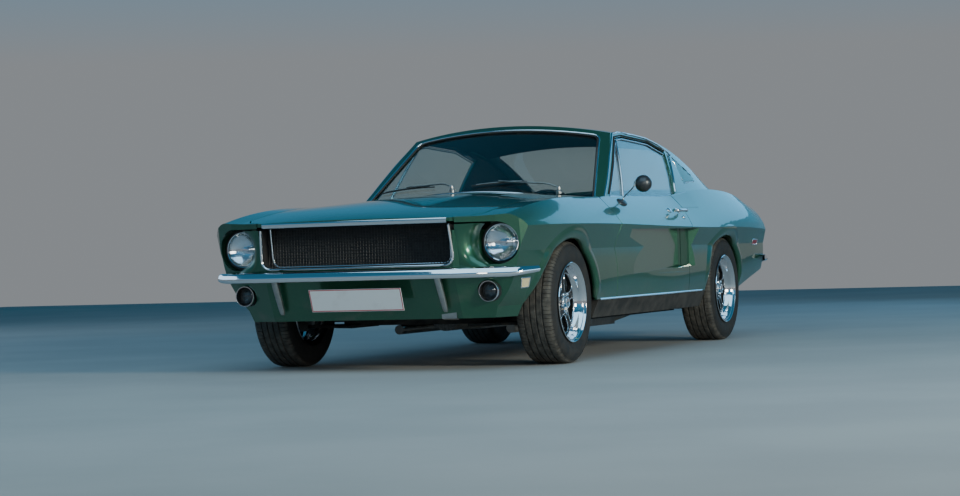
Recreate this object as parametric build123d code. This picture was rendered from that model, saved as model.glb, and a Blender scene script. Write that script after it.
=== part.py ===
"""Fastback muscle car, built as separate panels, cabin, running gear and trim.

Frame: +X forwards, +Y to the car's left, +Z up, origin on the ground below the middle of the
overall length. Millimetres. The lower body is one lofted volume (sections across X) and the
cabin top is a second one. Panels are walls cut from those volumes along the real shut lines.
"""

import os
from math import asin, cos, radians, sin, sqrt

from build123d import *

# Overall sizes of the car
LENGTH = 4663.0
WHEELBASE = 2743.0
FRONT_OVERHANG = 850.0
TRACK = 1492.0
FRONT_AXLE_X = LENGTH / 2 - FRONT_OVERHANG
REAR_AXLE_X = FRONT_AXLE_X - WHEELBASE
WHEEL_Y = TRACK / 2

# Wheels and tyres
TYRE_R = 315.0
TYRE_W = 208.0
BEAD_R = 193.0
BEAD_W = 178.0
RIM_LIP_R = 207.0
RIM_WALL = 7.0
RIM_DROP = 14.0  # the barrel is narrower between the beads
SPOKE_FACE = 52.0  # outboard face of the spokes, from the tyre's middle plane
SPOKE_DEPTH = 26.0
SPOKES = 5
HUB_R = 66.0
CAP_R = 38.0
LUG_CIRCLE = 114.3
LUG_HOLE_R = 7.5
BRAKE_R = 128.0
AXLE_Z = TYRE_R

# Clearances
FIT = 0.3  # between pieces that seat on each other
PIN_FIT = 0.08  # round a hinge pin
SHUT = 6.0  # round a door or a lid

# Walls
SKIN = 12.0
LID_SKIN = 24.0
ROOF_SKIN = 26.0
GLASS = 6.0
PAN = 14.0

# Shut lines
DOOR_REAR_X = -458.0
DOOR_IN_Y = 700.0
DOOR_LOW_Z = 326.0
DOOR_LIP_Y = 742.0
BELT_Z = 866.0
HOOD_HALF_Y = 650.0
HOOD_HINGE_X, HOOD_HINGE_Z, HOOD_EDGE_R = 1000.0, 838.0, 75.0
LID_HINGE_X, LID_HINGE_Z, LID_EDGE_R = -1860.0, 864.0, 75.0
LID_HALF_Y = 590.0
LID_LOW_Z = 770.0
LID_EDGE_DEPTH = 30.0
TUB_IN_Y = 580.0  # inner wall of the rear wheel housing
SAIL_X = -640.0  # where the roof panel meets the rear quarter
ROOF_REAR_X = -905.0
ROOF_STRIP_Y = 560.0
BUMPER_LINE_Z = 462.0  # where the wings end on the valance, behind the bumper

# Door hinge, on an upright axis inside the front edge
DOOR_HINGE_X, DOOR_HINGE_Y = 760.0, 835.0
DOOR_EDGE_R = 75.0
HINGE_PIN_R = 8.0
HINGE_HEIGHTS = (430.0, 640.0)
HINGE_GAP = 52.0  # height of the notch in the door
POST_X0, POST_X1 = 852.0, 900.0

# Floor
FLOOR_Z, SEAT_PAN_Z, KICK_Z, BOOT_Z, SHELF_Z = 214.0, 300.0, 450.0, 380.0, 812.0
RAIL_LOW_Z, RAIL_FRONT_X = 344.0, -975.0
AXLE_TUBE_R = 36.0
REAR_FLOOR_Y = 570.0
TUNNEL_Y, TUNNEL_Z = 140.0, 360.0
SILL_REAR_X, SILL_FRONT_X = -815.0, 1085.0
SILL_IN_Y = 640.0
TOE_WALL_X, TOE_WALL_Y = 900.0, 300.0
BULKHEAD_X = -1045.0
JACK_X, JACK_Y, JACK_Z = (700.0, -600.0), 740.0, 214.0
RADIATOR_X = 2120.0
FIREWALL_X = 944.0

# Steering
KINGPIN_Y = 640.0
APRON_Y = 450.0

# Lower body sections, tail to nose: half widths and heights of the lines that run along the car
BODY = (
    # x, crease_y, crease_z, waist_y, belly_y, sill_y, peak_y, peak_z, inner_y, inner_z, crown_z
    (-2330, 852, 664, 832, 802, 760, 730, 828, 620, 834, 858),
    (-2000, 882, 682, 850, 836, 790, 752, 866, 640, 862, 880),
    (-1650, 896, 691, 854, 850, 826, 772, 909, 660, 894, 904),
    (-1262, 901, 694, 852, 862, 845, 778, 928, 680, 912, 924),
    (-900, 901, 694, 852, 868, 852, 775, 922, 680, 910, 924),
    (-450, 900, 698, 852, 872, 860, 765, 885, 680, 880, 905),
    (300, 899, 709, 858, 874, 862, 762, 875, 690, 872, 905),
    (900, 898, 718, 858, 872, 862, 765, 867, 690, 866, 910),
    (1480, 896, 720, 854, 860, 845, 775, 854, 655, 852, 872),
    (1950, 880, 716, 838, 805, 742, 785, 812, 655, 810, 824),
    (2330, 830, 702, 798, 730, 640, 762, 750, 640, 754, 766),
)
WAIST_Z, BELLY_Z, SILL_Z, HEM_Z = 590.0, 430.0, 318.0, 222.0
HEM_IN = 40.0
SHOULDER_BULGE = 14.0

# Cabin sections, tail to nose
CABIN = (
    # x, base_y, rail_y, rail_z, roof_z
    (-2050, 690, 620, 846, 868),
    (-1800, 700, 622, 916, 944),
    (-1400, 716, 622, 1040, 1086),
    (-950, 730, 612, 1166, 1228),
    (-600, 736, 606, 1222, 1288),
    (-150, 740, 604, 1246, 1311),
    (350, 740, 602, 1232, 1294),
    (1000, 740, 588, 1195, 1250),
)
CABIN_BASE_Z = 838.0
CABIN_SIDE_BULGE = 10.0

# Windscreen: part of a large cylinder that leans back
SCREEN_X, SCREEN_Z = 790.0, 902.0
SCREEN_SLOPE = 33.0
SCREEN_R = 2250.0
SCREEN_FOOT = (700.0, 26.0)  # half width, and distance up the slope
SCREEN_HEAD = (554.0, 698.0)
SCREEN_HEAD_MIDDLE = 682.0
SCREEN_SET = 4.0  # the glass lies below the surface
SCREEN_CORNER = 45.0

# Nose and tail seen from above, at the height NOSE_Z
NOSE_Z = 640.0
NOSE = ((2300, 0), (2290, 520), (2205, 728), (2150, 832), (2040, 925))
NOSE_RAKE = 0.15
CHIN_Z, CHIN_RAKE = 490.0, 0.45  # below the bumper the nose leans back more
TAIL = ((-2262, 0), (-2248, 560), (-2205, 760), (-2150, 850), (-2030, 925))
TAIL_RAKE = 0.10
TAIL_LOW_Z = 350.0

# Headlamp pocket, lamps and grille
LAMP_Y, LAMP_Z = 717.0, 634.0
LENS_R = 86.0
LAMP_RING_R = 99.0
POCKET_BACK_X = 2092.0
POCKET = ((2420, 540), (2284, 540), (2120, 604), (POCKET_BACK_X, 614), (POCKET_BACK_X, 823), (2420, 823))
POCKET_LOW_Z, POCKET_HIGH_Z = 526.0, 737.0
POCKET_WALL_X = 2070.0
MOUTH_HALF_Y, MOUTH_LOW_Z, MOUTH_HIGH_Z = 528.0, 524.0, 738.0
MOUTH_CORNER = 60.0
GRILLE_X = 2205.0
GRILLE_COLUMNS, GRILLE_ROWS = 24, 5
FOG_X, FOG_Y, FOG_Z, FOG_R = 2195.0, 665.0, 396.0, 52.0

# Bumpers seen from above
FRONT_BUMPER = (
    (2331.5, 0), (2330.5, 240), (2326, 440), (2315, 560), (2284, 660), (2231, 753), (2165, 841), (2059, 896),
)
REAR_BUMPER = (
    (-2331.5, 0), (-2330.5, 260), (-2326, 480), (-2314, 600), (-2288, 700), (-2250, 780), (-2190, 858),
    (-2050, 896),
)
BUMPER_LOW_Z = 462.0
BUMPER_DEPTH = 26.0

# Wheel opening, measured from the axle: rear foot, rear, crown, front
ARCH = ((-326, 330), (-228, 549), (6, 646), (244, 594), (383, 470), (452, 330))


def block(x0, x1, y0, y1, z0, z1):
    """A box between two corners."""
    return Pos((x0 + x1) / 2, (y0 + y1) / 2, (z0 + z1) / 2) * Box(abs(x1 - x0), abs(y1 - y0), abs(z1 - z0))


def rod(x, y, z, axis, radius, length):
    """A cylinder centred on a point, along X, Y or Z."""
    turn = {"X": Rot(0, 90, 0), "Y": Rot(90, 0, 0), "Z": Rot(0, 0, 0)}[axis]
    return Pos(x, y, z) * turn * Cylinder(radius, length)


def bar(start, end, radius):
    """A round bar between two points."""
    a, b = Vector(*start), Vector(*end)
    along = b - a
    return Plane(origin=a + along * 0.5, z_dir=along.normalized()) * Cylinder(radius, along.length)


def prism(points, y0, y1):
    """An outline in the side view (x, z), extruded across the car."""
    face = make_face(Polyline(*[(x, y0, z) for x, z in points], close=True))
    return extrude(face, amount=y1 - y0, dir=(0, 1, 0))


def plan(points, z0, z1):
    """An outline seen from above (x, y), extruded upwards."""
    face = make_face(Polyline(*[(x, y, z0) for x, y in points], close=True))
    return extrude(face, amount=z1 - z0, dir=(0, 0, 1))


def other_side(shape):
    """The same piece on the car's right."""
    return mirror(shape, about=Plane.XZ)


def one_solid(shape):
    """The largest solid of a shape, without slivers."""
    return max(shape.solids(), key=lambda s: s.volume)


def body_wire(row, inset):
    """One closed section of the lower body, drawn inset by a wall."""
    x, crease_y, crease_z, waist_y, belly_y, sill_y, peak_y, peak_z, inner_y, inner_z, crown_z = row
    drop = 30.0 if inset else 0.0
    hem = (sill_y - HEM_IN - inset, HEM_Z - drop)
    sill = (sill_y - inset, SILL_Z)
    belly = (belly_y - inset, BELLY_Z)
    waist = (waist_y - inset, WAIST_Z)
    crease = (crease_y - inset, crease_z - inset * 0.2)
    peak = (peak_y - inset * 0.5, peak_z - inset)
    inner = (inner_y, inner_z - inset)
    run_y, run_z = crease[0] - peak[0], peak[1] - crease[1]
    span = sqrt(run_y**2 + run_z**2)
    shoulder = (
        (crease[0] + peak[0]) / 2 + SHOULDER_BULGE * run_z / span,
        (crease[1] + peak[1]) / 2 + SHOULDER_BULGE * run_y / span,
    )

    def at(p, side=1):
        return (x, p[0] * side, p[1])

    edges = [Line(at(hem, -1), at(hem))]
    for side in (1, -1):
        edges += [
            Line(at(hem, side), at(sill, side)),
            ThreePointArc(at(sill, side), at(belly, side), at(waist, side)),
            Line(at(waist, side), at(crease, side)),
            ThreePointArc(at(crease, side), at(shoulder, side), at(peak, side)),
            Line(at(peak, side), at(inner, side)),
        ]
    edges.append(ThreePointArc(at(inner), (x, 0, crown_z - inset), at(inner, -1)))
    return Wire(edges)


def cabin_wire(row, inset):
    """One closed section of the cabin top."""
    x, base_y, rail_y, rail_z, roof_z = row
    base = (base_y - inset, CABIN_BASE_Z - (8.0 if inset else 0.0))
    rail = (rail_y - inset * 0.9, rail_z - inset * 0.7)
    side_y = (base[0] + rail[0]) / 2 + CABIN_SIDE_BULGE
    side_z = (base[1] + rail[1]) / 2
    edges = [Line((x, -base[0], base[1]), (x, base[0], base[1]))]
    for side in (1, -1):
        start, end = (x, side * base[0], base[1]), (x, side * rail[0], rail[1])
        edges.append(ThreePointArc(start, (x, side * side_y, side_z), end))
    edges.append(ThreePointArc((x, rail[0], rail[1]), (x, 0, roof_z - inset), (x, -rail[0], rail[1])))
    return Wire(edges)


def body_volume(inset=0.0):
    return Solid.make_loft([body_wire(row, inset) for row in BODY], ruled=False)


def cabin_volume(inset=0.0):
    return Solid.make_loft([cabin_wire(row, inset) for row in CABIN], ruled=False)


def screen_body(inset=0.0):
    """Everything behind the windscreen's surface, set back by an inset."""
    slope = radians(SCREEN_SLOPE)
    out = (sin(slope), 0, cos(slope))
    centre = Vector(SCREEN_X, 0, SCREEN_Z) - Vector(*out) * SCREEN_R
    turned = Plane(origin=centre, z_dir=(-cos(slope), 0, sin(slope)))
    return turned * Cylinder(SCREEN_R - inset, 6000)


def end_outline(points, z, shift):
    """Plan outline of one end of the car at one height, closed across the middle."""
    def at(p, side=1):
        return (p[0] + shift, side * p[1], z)

    middle, edge = points[0], points[1]
    far = -LENGTH if middle[0] > 0 else LENGTH
    edges = [ThreePointArc(at(edge, -1), at(middle), at(edge))]
    for side in (1, -1):
        for a, b in zip(points[1:-1], points[2:]):
            edges.append(Line(at(a, side), at(b, side)))
        edges.append(Line(at(points[-1], side), (far, side * points[-1][1], z)))
    edges.append(Line((far, points[-1][1], z), (far, -points[-1][1], z)))
    return Wire(edges)


END_LOW_Z, END_HIGH_Z = 150.0, 1100.0


def nose_volume(back=0.0):
    """Everything behind the leaning face of the nose, set back by a distance."""
    top = (END_HIGH_Z - NOSE_Z) * NOSE_RAKE
    chin = (CHIN_Z - NOSE_Z) * NOSE_RAKE
    foot = chin + (END_LOW_Z - CHIN_Z) * CHIN_RAKE
    levels = ((END_LOW_Z, foot), (CHIN_Z, chin), (END_HIGH_Z, top))
    return Solid.make_loft([end_outline(NOSE, z, shift - back) for z, shift in levels], ruled=True)


def tail_volume(back=0.0):
    """Everything ahead of the leaning face of the tail, set forwards by a distance."""
    levels = [(z, (NOSE_Z - z) * TAIL_RAKE) for z in (END_LOW_Z, END_HIGH_Z)]
    return Solid.make_loft([end_outline(TAIL, z, shift + back) for z, shift in levels], ruled=True)


def arch_cutter(axle_x, grow=0.0):
    """The wheel opening, through both sides."""
    foot, rear, crown, front, knee, toe = [
        (axle_x + dx + grow * (1 if dx > 0 else -1), -1100, z + (grow if z > 400 else 0)) for dx, z in ARCH
    ]
    low = 100.0
    edges = [
        Line((foot[0], -1100, low), foot),
        ThreePointArc(foot, rear, crown),
        ThreePointArc(crown, front, knee),
        Line(knee, toe),
        Line(toe, (toe[0] + 20, -1100, low)),
        Line((toe[0] + 20, -1100, low), (foot[0], -1100, low)),
    ]
    return extrude(make_face(Wire(edges)), amount=2200, dir=(0, 1, 0))


# Vent panel in the sail, seen from the side (x, z)
SAIL_VENT = ((-915, 1132), (-1225, 1018), (-1236, 982), (-962, 968))
VENT_DEPTH = 5.0

# Side cove: plan outline from its shallow front end to the ridge of the scoop, on the car's left
COVE = ((620, 876), (-430, 812), (-560, 838), (-600, 905), (-600, 960), (620, 960))
COVE_LOW_FRONT_Z, COVE_LOW_REAR_Z, COVE_HIGH_Z = 440.0, 470.0, 688.0


def cove_cutter(inward=0.0):
    """The hollow along the door and quarter that ends at the side scoop."""
    points = [(x, y - (inward if y < 950 else 0)) for x, y in COVE]
    tall = plan(points, 300, 800)
    side = prism(
        [(640, COVE_LOW_FRONT_Z), (-620, COVE_LOW_REAR_Z), (-620, COVE_HIGH_Z), (640, COVE_HIGH_Z)], 700, 1000
    )
    left = tall & side
    return left + other_side(left)


def mouth(x0, x1, grow=0.0):
    """The opening between the lamps, with rounded lower corners."""
    low, high = MOUTH_LOW_Z - grow, MOUTH_HIGH_Z + grow
    sketch = Plane(origin=(x0, 0, (low + high) / 2), x_dir=(0, 1, 0), z_dir=(1, 0, 0)) * RectangleRounded(
        2 * (MOUTH_HALF_Y + grow), high - low, MOUTH_CORNER
    )
    return extrude(sketch, amount=x1 - x0)


def lamp_pocket():
    """Recess in the left wing that holds the headlamp."""
    deep = plan(POCKET, POCKET_LOW_Z, POCKET_HIGH_Z)
    middle_y, middle_z = (540 + 823) / 2, (POCKET_LOW_Z + POCKET_HIGH_Z) / 2
    sketch = Plane(origin=(2000, middle_y, middle_z), x_dir=(0, 1, 0), z_dir=(1, 0, 0)) * RectangleRounded(
        823 - 540, POCKET_HIGH_Z - POCKET_LOW_Z, 100
    )
    outer = extrude(sketch, amount=500) + block(2000, 2500, 540, 660, POCKET_LOW_Z, POCKET_HIGH_Z)
    return deep & outer


def hood_area(grow=0.0):
    """The hood seen from above, widened by a gap for its opening."""
    half = HOOD_HALF_Y - SHUT / 2
    left = [(2500, 536), (2290, 536), (2248, 600), (2150, half), (850, half)]
    right = [(x, -y) for x, y in reversed(left)]
    face = make_face(Polyline(*[(x, y, 700) for x, y in left + right], close=True))
    if grow:
        face = offset(face, amount=grow, kind=Kind.INTERSECTION)
    return extrude(face, amount=300, dir=(0, 0, 1))


def hood_edge(grow=0.0):
    """Round rear edge of the hood, about its hinge line."""
    return rod(HOOD_HINGE_X, 0, HOOD_HINGE_Z, "Y", HOOD_EDGE_R + grow, 2 * HOOD_HALF_Y + 40)


def lid_area(grow=0.0):
    """The boot lid, with its round front edge about the hinge line; grow widens it by a gap."""
    half = LID_HALF_Y + grow
    slab = block(LID_HINGE_X, -2500, -half, half, LID_LOW_Z - grow, 1000)
    return slab + rod(LID_HINGE_X, 0, LID_HINGE_Z, "Y", LID_EDGE_R + grow, 2 * half)


def door_area(grow=0.0):
    """Where the left door is, widened by a gap for its opening."""
    radius = DOOR_HINGE_X - DOOR_REAR_X
    low = DOOR_LOW_Z - grow
    front = rod(DOOR_HINGE_X, DOOR_HINGE_Y, 600, "Z", DOOR_EDGE_R + grow, 800)
    sweep = rod(DOOR_HINGE_X, DOOR_HINGE_Y, 600, "Z", radius + grow, 800)
    slab = block(-700, DOOR_HINGE_X, DOOR_IN_Y - grow, 960, low, 1000)
    nose = front & block(DOOR_HINGE_X - 5, 900, DOOR_IN_Y - grow, 960, low, 1000)
    return (slab & sweep) + nose


# Side window opening seen from the side (x, z), at the outer surface of the cabin
SIDE_WINDOW = ((568, 840), (78, 1215), (-40, 1226), (-500, 1206), (-800, 1150), (-672, 840))
VENT_BAR = ((280, 866), (64, 1150))
WINDOW_GAP = 8.0


def window_prism(shrink=0.0):
    """Left side window outline, shrunk by a distance."""
    face = make_face(Polyline(*[(x, 450, z) for x, z in SIDE_WINDOW], close=True))
    if shrink:
        face = offset(face, amount=-shrink, kind=Kind.INTERSECTION)
    return extrude(face, amount=510, dir=(0, 1, 0))


def screen_opening(shrink=0.0):
    """Windscreen opening along the screen's normal: rounded, wider at the foot, its head bowed."""
    slope = radians(SCREEN_SLOPE)
    out = Vector(sin(slope), 0, cos(slope))
    up = Vector(-cos(slope), 0, sin(slope))
    foot = Vector(SCREEN_X, 0, SCREEN_Z)
    frame = Plane(origin=foot - out * 400, x_dir=(0, 1, 0), z_dir=out)
    sign = 1 if frame.y_dir.dot(up) > 0 else -1
    (foot_y, foot_run), (head_y, head_run) = SCREEN_FOOT, SCREEN_HEAD
    places = ((-head_y, head_run), (-foot_y, foot_run), (foot_y, foot_run), (head_y, head_run))
    corners = [(y, sign * run) for y, run in places]
    head = ThreePointArc(corners[3], (0, sign * SCREEN_HEAD_MIDDLE), corners[0])
    flat = make_face(Wire(Polyline(*corners).edges() + head.edges()))
    flat = fillet(flat.vertices(), SCREEN_CORNER)
    if shrink:
        flat = offset(flat, amount=-shrink)
    return extrude(frame * flat, amount=700)


REAR_WINDOW = ((-925, 520), (-1745, 548))


def rear_opening(shrink=0.0):
    """Rear window opening, cut straight down."""
    (front_x, front_y), (rear_x, rear_y) = REAR_WINDOW
    points = [
        (front_x - shrink, front_y - shrink), (rear_x + shrink, rear_y - shrink),
        (rear_x + shrink, shrink - rear_y), (front_x - shrink, shrink - front_y),
    ]
    flat = make_face(Polyline(*points, close=True))
    flat = fillet(flat.vertices(), 70)
    return extrude(Pos(0, 0, 860) * flat, amount=600)


class Volumes:
    """The lofted volumes that the panels are cut from."""

    def __init__(self):
        ends = nose_volume() & tail_volume()
        inner_ends = nose_volume(SKIN) & tail_volume(SKIN)
        self.raw_body = body_volume()
        self.body = (self.raw_body & ends) - cove_cutter()
        self.body_in = (body_volume(SKIN) & inner_ends) - cove_cutter(SKIN)
        self.lid_in = body_volume(LID_SKIN)
        self.cabin = cabin_volume() & screen_body()
        self.cabin_in = cabin_volume(ROOF_SKIN) & screen_body(ROOF_SKIN)
        deck_area = block(-2500, -1500, -960, 960, 800, 1200)
        self.deck = self.body + (self.cabin & deck_area)
        self.deck_in = self.lid_in + (cabin_volume(LID_SKIN) & deck_area)
        self.shell = self.body + self.cabin - self.body_in - self.cabin_in


def front_wing(v):
    """Left front wing, with the headlamp pocket in its end."""
    wall = v.body - v.body_in
    region = block(DOOR_HINGE_X - 160, 2400, HOOD_HALF_Y + SHUT / 2, 960, SILL_Z + FIT, 1000)
    region = region - block(FRONT_AXLE_X + 200, 2500, 0, 960, 0, BUMPER_LINE_Z + FIT)
    region = region - block(-200, DOOR_HINGE_X + 2, 0, 960, 0, 840)
    side = wall & region
    head = v.body & block(POCKET_WALL_X, 2500, MOUTH_HALF_Y, 960, BUMPER_LINE_Z + FIT, 900)
    head = head - hood_area(SHUT)
    wing = side + head - lamp_pocket() - rod(2080, LAMP_Y, LAMP_Z, "X", LENS_R + 4, 100)
    wing = wing - arch_cutter(FRONT_AXLE_X) - door_area(SHUT)
    wing = wing - (v.cabin & block(-200, 1000, 0, 960, 800, 1400))
    return one_solid(wing)


def nose_valance(v):
    """Panel below the front bumper, from wheel to wheel."""
    wall = v.body - v.body_in
    front = (v.body & block(2000, 2500, -960, 960, 0, 1000)) - nose_volume(60)
    inside = v.body_in & nose_volume(60)
    half = MOUTH_HALF_Y - FIT
    below_grille = block(2150, 2500, -half, half, BUMPER_LINE_Z, MOUTH_LOW_Z + MOUTH_CORNER)
    area = block(1880, 2500, -960, 960, 262, BUMPER_LINE_Z) + (below_grille - mouth(2000, 2500))
    panel = (wall + (front - inside)) & area
    panel = panel - arch_cutter(FRONT_AXLE_X)
    panel = panel - block(1800, RADIATOR_X + FIT, -560, 560, 200, 500)
    panel = panel - bumper_iron(FIT) - other_side(bumper_iron(FIT))
    for side in (1, -1):
        panel = panel - rod(FOG_X, side * FOG_Y, FOG_Z, "X", FOG_R + FIT, 400)
    return one_solid(panel)


def hood(v):
    area = hood_area()
    skin = (v.body & area) - v.lid_in
    lip = v.body & area & block(2262, 2500, -600, 600, MOUTH_HIGH_Z + SHUT, 1000)
    behind = block(HOOD_HINGE_X, 3000, -960, 960, 500, 1100)
    panel = (skin + lip) & (behind + hood_edge())
    panel = panel - block(2170, 2500, -960, 960, 500, MOUTH_HIGH_Z + SHUT)
    return lid_lugs(one_solid(panel), HOOD_HINGE_X, HOOD_HINGE_Z, HOOD_LUG_Y, 872)


def cowl(v):
    """Panel between the hood and the windscreen, with its upright rear plate."""
    half = HOOD_HALF_Y + SHUT / 2 - FIT
    panel = (v.body - v.body_in) & block(480, HOOD_HINGE_X, -half, half, 700, 1000)
    panel = panel - hood_edge(SHUT) - v.cabin
    panel = one_solid(panel)
    back = block(905, 917, -half, half, 846, 890) & v.body
    return one_solid(panel + (back - hood_edge(SHUT)))


def roof(v):
    """Roof panel with the windscreen pillars and header."""
    area = block(SAIL_X + FIT, 1000, -960, 960, 0, 1400)
    area = area + block(ROOF_REAR_X, SAIL_X + FIT, -ROOF_STRIP_Y, ROOF_STRIP_Y, 950, 1400)
    top = (v.cabin - v.cabin_in) & area
    top = top - block(-1000, 1000, -960, 960, 700, BELT_Z + SHUT) - v.raw_body
    top = top - screen_opening() - rear_opening()
    return one_solid(top - window_prism() - other_side(window_prism()))


def windscreen(v):
    glass = (screen_body(SCREEN_SET) - screen_body(SCREEN_SET + GLASS)) & screen_opening(FIT)
    return one_solid((glass & cabin_volume(1.0)) - v.raw_body)


def rear_window(v):
    glass = (cabin_volume(4.0) - cabin_volume(4.0 + GLASS)) & rear_opening(FIT)
    return one_solid(glass & block(-1800, -900, -600, 600, 880, 1400))


def quarter(v):
    """Left rear quarter with its sail panel, vent and wheel housing."""
    area = block(-2500, DOOR_REAR_X + 40, 0, 960, SILL_Z + FIT, 1400)
    area = area - block(SAIL_X, 0, 0, DOOR_LIP_Y, BELT_Z, 1400)
    area = area - block(ROOF_REAR_X - FIT, 0, 0, ROOF_STRIP_Y + FIT, 900, 1400)
    area = area - block(-2500, -900, 0, 500, 0, 1400)
    panel = v.shell & area
    panel = panel - rear_opening() - lid_area(SHUT)
    panel = panel - block(-1900, REAR_WINDOW[1][0] + 2 * FIT, 0, LID_HALF_Y + FIT, 700, 1000)
    panel = panel - block(-2500, -2120, 0, 700, 0, 860)
    panel = panel - prism([(-1600, 200), (-1600, 318), (-2300, 452), (-2300, 200)], 0, 960)
    tub = arch_cutter(REAR_AXLE_X, PAN) & block(-1700, -700, TUB_IN_Y, 846, SILL_Z + FIT, 700)
    panel = panel + ((tub - axle_way()) & v.body)
    panel = panel - (arch_cutter(REAR_AXLE_X) & block(-1800, -700, TUB_IN_Y + PAN, 960, 0, 700))
    panel = panel - door_area(SHUT) - window_prism()
    panel = one_solid(panel)
    vent = prism(SAIL_VENT, 600, 960)
    panel = panel - ((v.cabin - cabin_volume(VENT_DEPTH)) & vent)
    return one_solid(panel)


def rear_panels(v):
    """Tail panel below the lid, and the filler between rear window and lid."""
    half = LID_HALF_Y
    filler = v.shell & block(-1900, REAR_WINDOW[1][0], -half, half, 800, 1000)
    filler = filler - lid_area(SHUT) - rear_opening()
    wall = v.body - tail_volume(26)
    tail = wall & block(-2500, -2120 - FIT, -700 + FIT, 700 - FIT, TAIL_LOW_Z, LID_LOW_Z - SHUT)
    for side in (1, -1):
        tail = tail - rod(-2240, side * 90, 420, "X", 3.2, 300)
        for place in range(LENSES):
            tail = tail - lens(side, place, FIT)
    return one_solid(tail) + one_solid(filler)


def boot_lid(v):
    """Boot lid with a deep rear edge and its hinge lugs."""
    whole = v.deck & lid_area()
    panel = one_solid((whole - v.deck_in) + (whole - tail_volume(LID_EDGE_DEPTH)))
    return lid_lugs(panel, LID_HINGE_X, LID_HINGE_Z, LID_LUG_Y, 892)


def door(v):
    """Left door, one slab as thick as the whole door, with its hinge bores."""
    slab = (v.body & door_area()) - block(-700, 900, 600, DOOR_LIP_Y, BELT_Z, 1000)
    for z in HINGE_HEIGHTS:
        notch = block(742, 900, 600, DOOR_HINGE_Y + 16, z - HINGE_GAP / 2, z + HINGE_GAP / 2)
        slab = slab - notch
        slab = slab - rod(DOOR_HINGE_X, DOOR_HINGE_Y, z, "Z", HINGE_PIN_R + PIN_FIT, HINGE_GAP + 34)
    slab = one_solid(slab)
    for x in PULL_X:
        slab = slab + rod(x, PULL_Y - 20, PULL_Z, "Y", PULL_R + 2, 40)
    return one_solid(slab + bar((PULL_X[0], PULL_Y, PULL_Z), (PULL_X[1], PULL_Y, PULL_Z), PULL_R))


# Outside door handle
PULL_X, PULL_Y, PULL_Z, PULL_R = (-335.0, -215.0), 898.0, 791.0, 8.0


def door_window(v):
    """Left door's glass with its bright frame bars."""
    above_door = block(-1000, 700, 400, 960, BELT_Z + FIT, 1400)
    pane = (cabin_volume(9.0) - cabin_volume(9.0 + GLASS)) & window_prism(WINDOW_GAP) & above_door
    frame = (cabin_volume(6.0) - cabin_volume(18.0)) & above_door
    (low_x, low_z), (high_x, high_z) = VENT_BAR
    half = 8.0
    divider = prism(
        [
            (low_x - half, low_z), (low_x + half, low_z),
            (high_x + half, high_z + 60), (high_x - half, high_z + 60),
        ],
        400, 960,
    )
    edge = window_prism(WINDOW_GAP) - window_prism(WINDOW_GAP + 10.0)
    bars = frame & (edge + (divider & window_prism(WINDOW_GAP)))
    return one_solid(pane + bars)


def mirror_piece(v):
    """Round door mirror on a short arm."""
    base = Pos(505, 792, 858) * Rot(38, 0, 0) * Cylinder(26, 16)
    arm = bar((500, 796, 862), (392, 868, 928), 6)
    head = Pos(378, 880, 938) * Rot(0, -90, 0) * Cylinder(48, 16)
    dome = Pos(386, 880, 938) * Sphere(48)
    dome = dome & block(386, 480, 800, 960, 860, 1020)
    return one_solid((base + arm + head + dome) - v.raw_body)


# Hinge brackets seen from the side (x, z): each reaches its pin from below, clear of the lid's round edge
HOOD_BRACKET = ((904, 690), (904, 736), (990, 760), (990, 838), (1010, 838), (1010, 744), (944, 690))
SHELF_REAR_X = LID_HINGE_X + LID_EDGE_R + 12.0
LID_BRACKET = (
    (-1870, LID_HINGE_Z), (-1870, 762), (-1760, 764), (-1760, 799), (-1772, 799), (-1772, 783),
    (-1850, 781), (-1850, LID_HINGE_Z),
)
HOOD_LUG_Y, LID_LUG_Y = 560.0, 520.0
LUG_WIDTH, LUG_GAP = 12.0, 5.0
HINGE_EAR_R = 10.0


def hinge_bracket(outline, pin_x, pin_z, lug_y):
    """Left bracket of a lid hinge, with the pin that passes through the lid's lug."""
    near = lug_y + LUG_WIDTH + LUG_GAP
    bracket = prism(outline, near, near + LUG_WIDTH)
    bracket = bracket + rod(pin_x, near + LUG_WIDTH / 2, pin_z, "Y", HINGE_EAR_R, LUG_WIDTH)
    return bracket + rod(pin_x, lug_y + LUG_WIDTH, pin_z, "Y", HINGE_PIN_R, 2 * LUG_WIDTH + LUG_GAP)


def lid_lugs(panel, pin_x, pin_z, lug_y, top_z):
    """A panel with its two lugs, bored for the hinge pins."""
    for side in (1, -1):
        lug = block(pin_x - 22, pin_x + 22, side * lug_y, side * (lug_y + LUG_WIDTH), pin_z - 16, top_z)
        panel = panel + lug
        panel = panel - rod(pin_x, side * (lug_y + LUG_WIDTH / 2), pin_z, "Y", HINGE_PIN_R + PIN_FIT, 40)
    return one_solid(panel)


def axle_way():
    """Room above the rear axle tube in the rails and wheel housings."""
    top = AXLE_Z + AXLE_TUBE_R + 20
    return block(REAR_AXLE_X - 62, REAR_AXLE_X + 62, -960, 960, 0, top)


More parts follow.
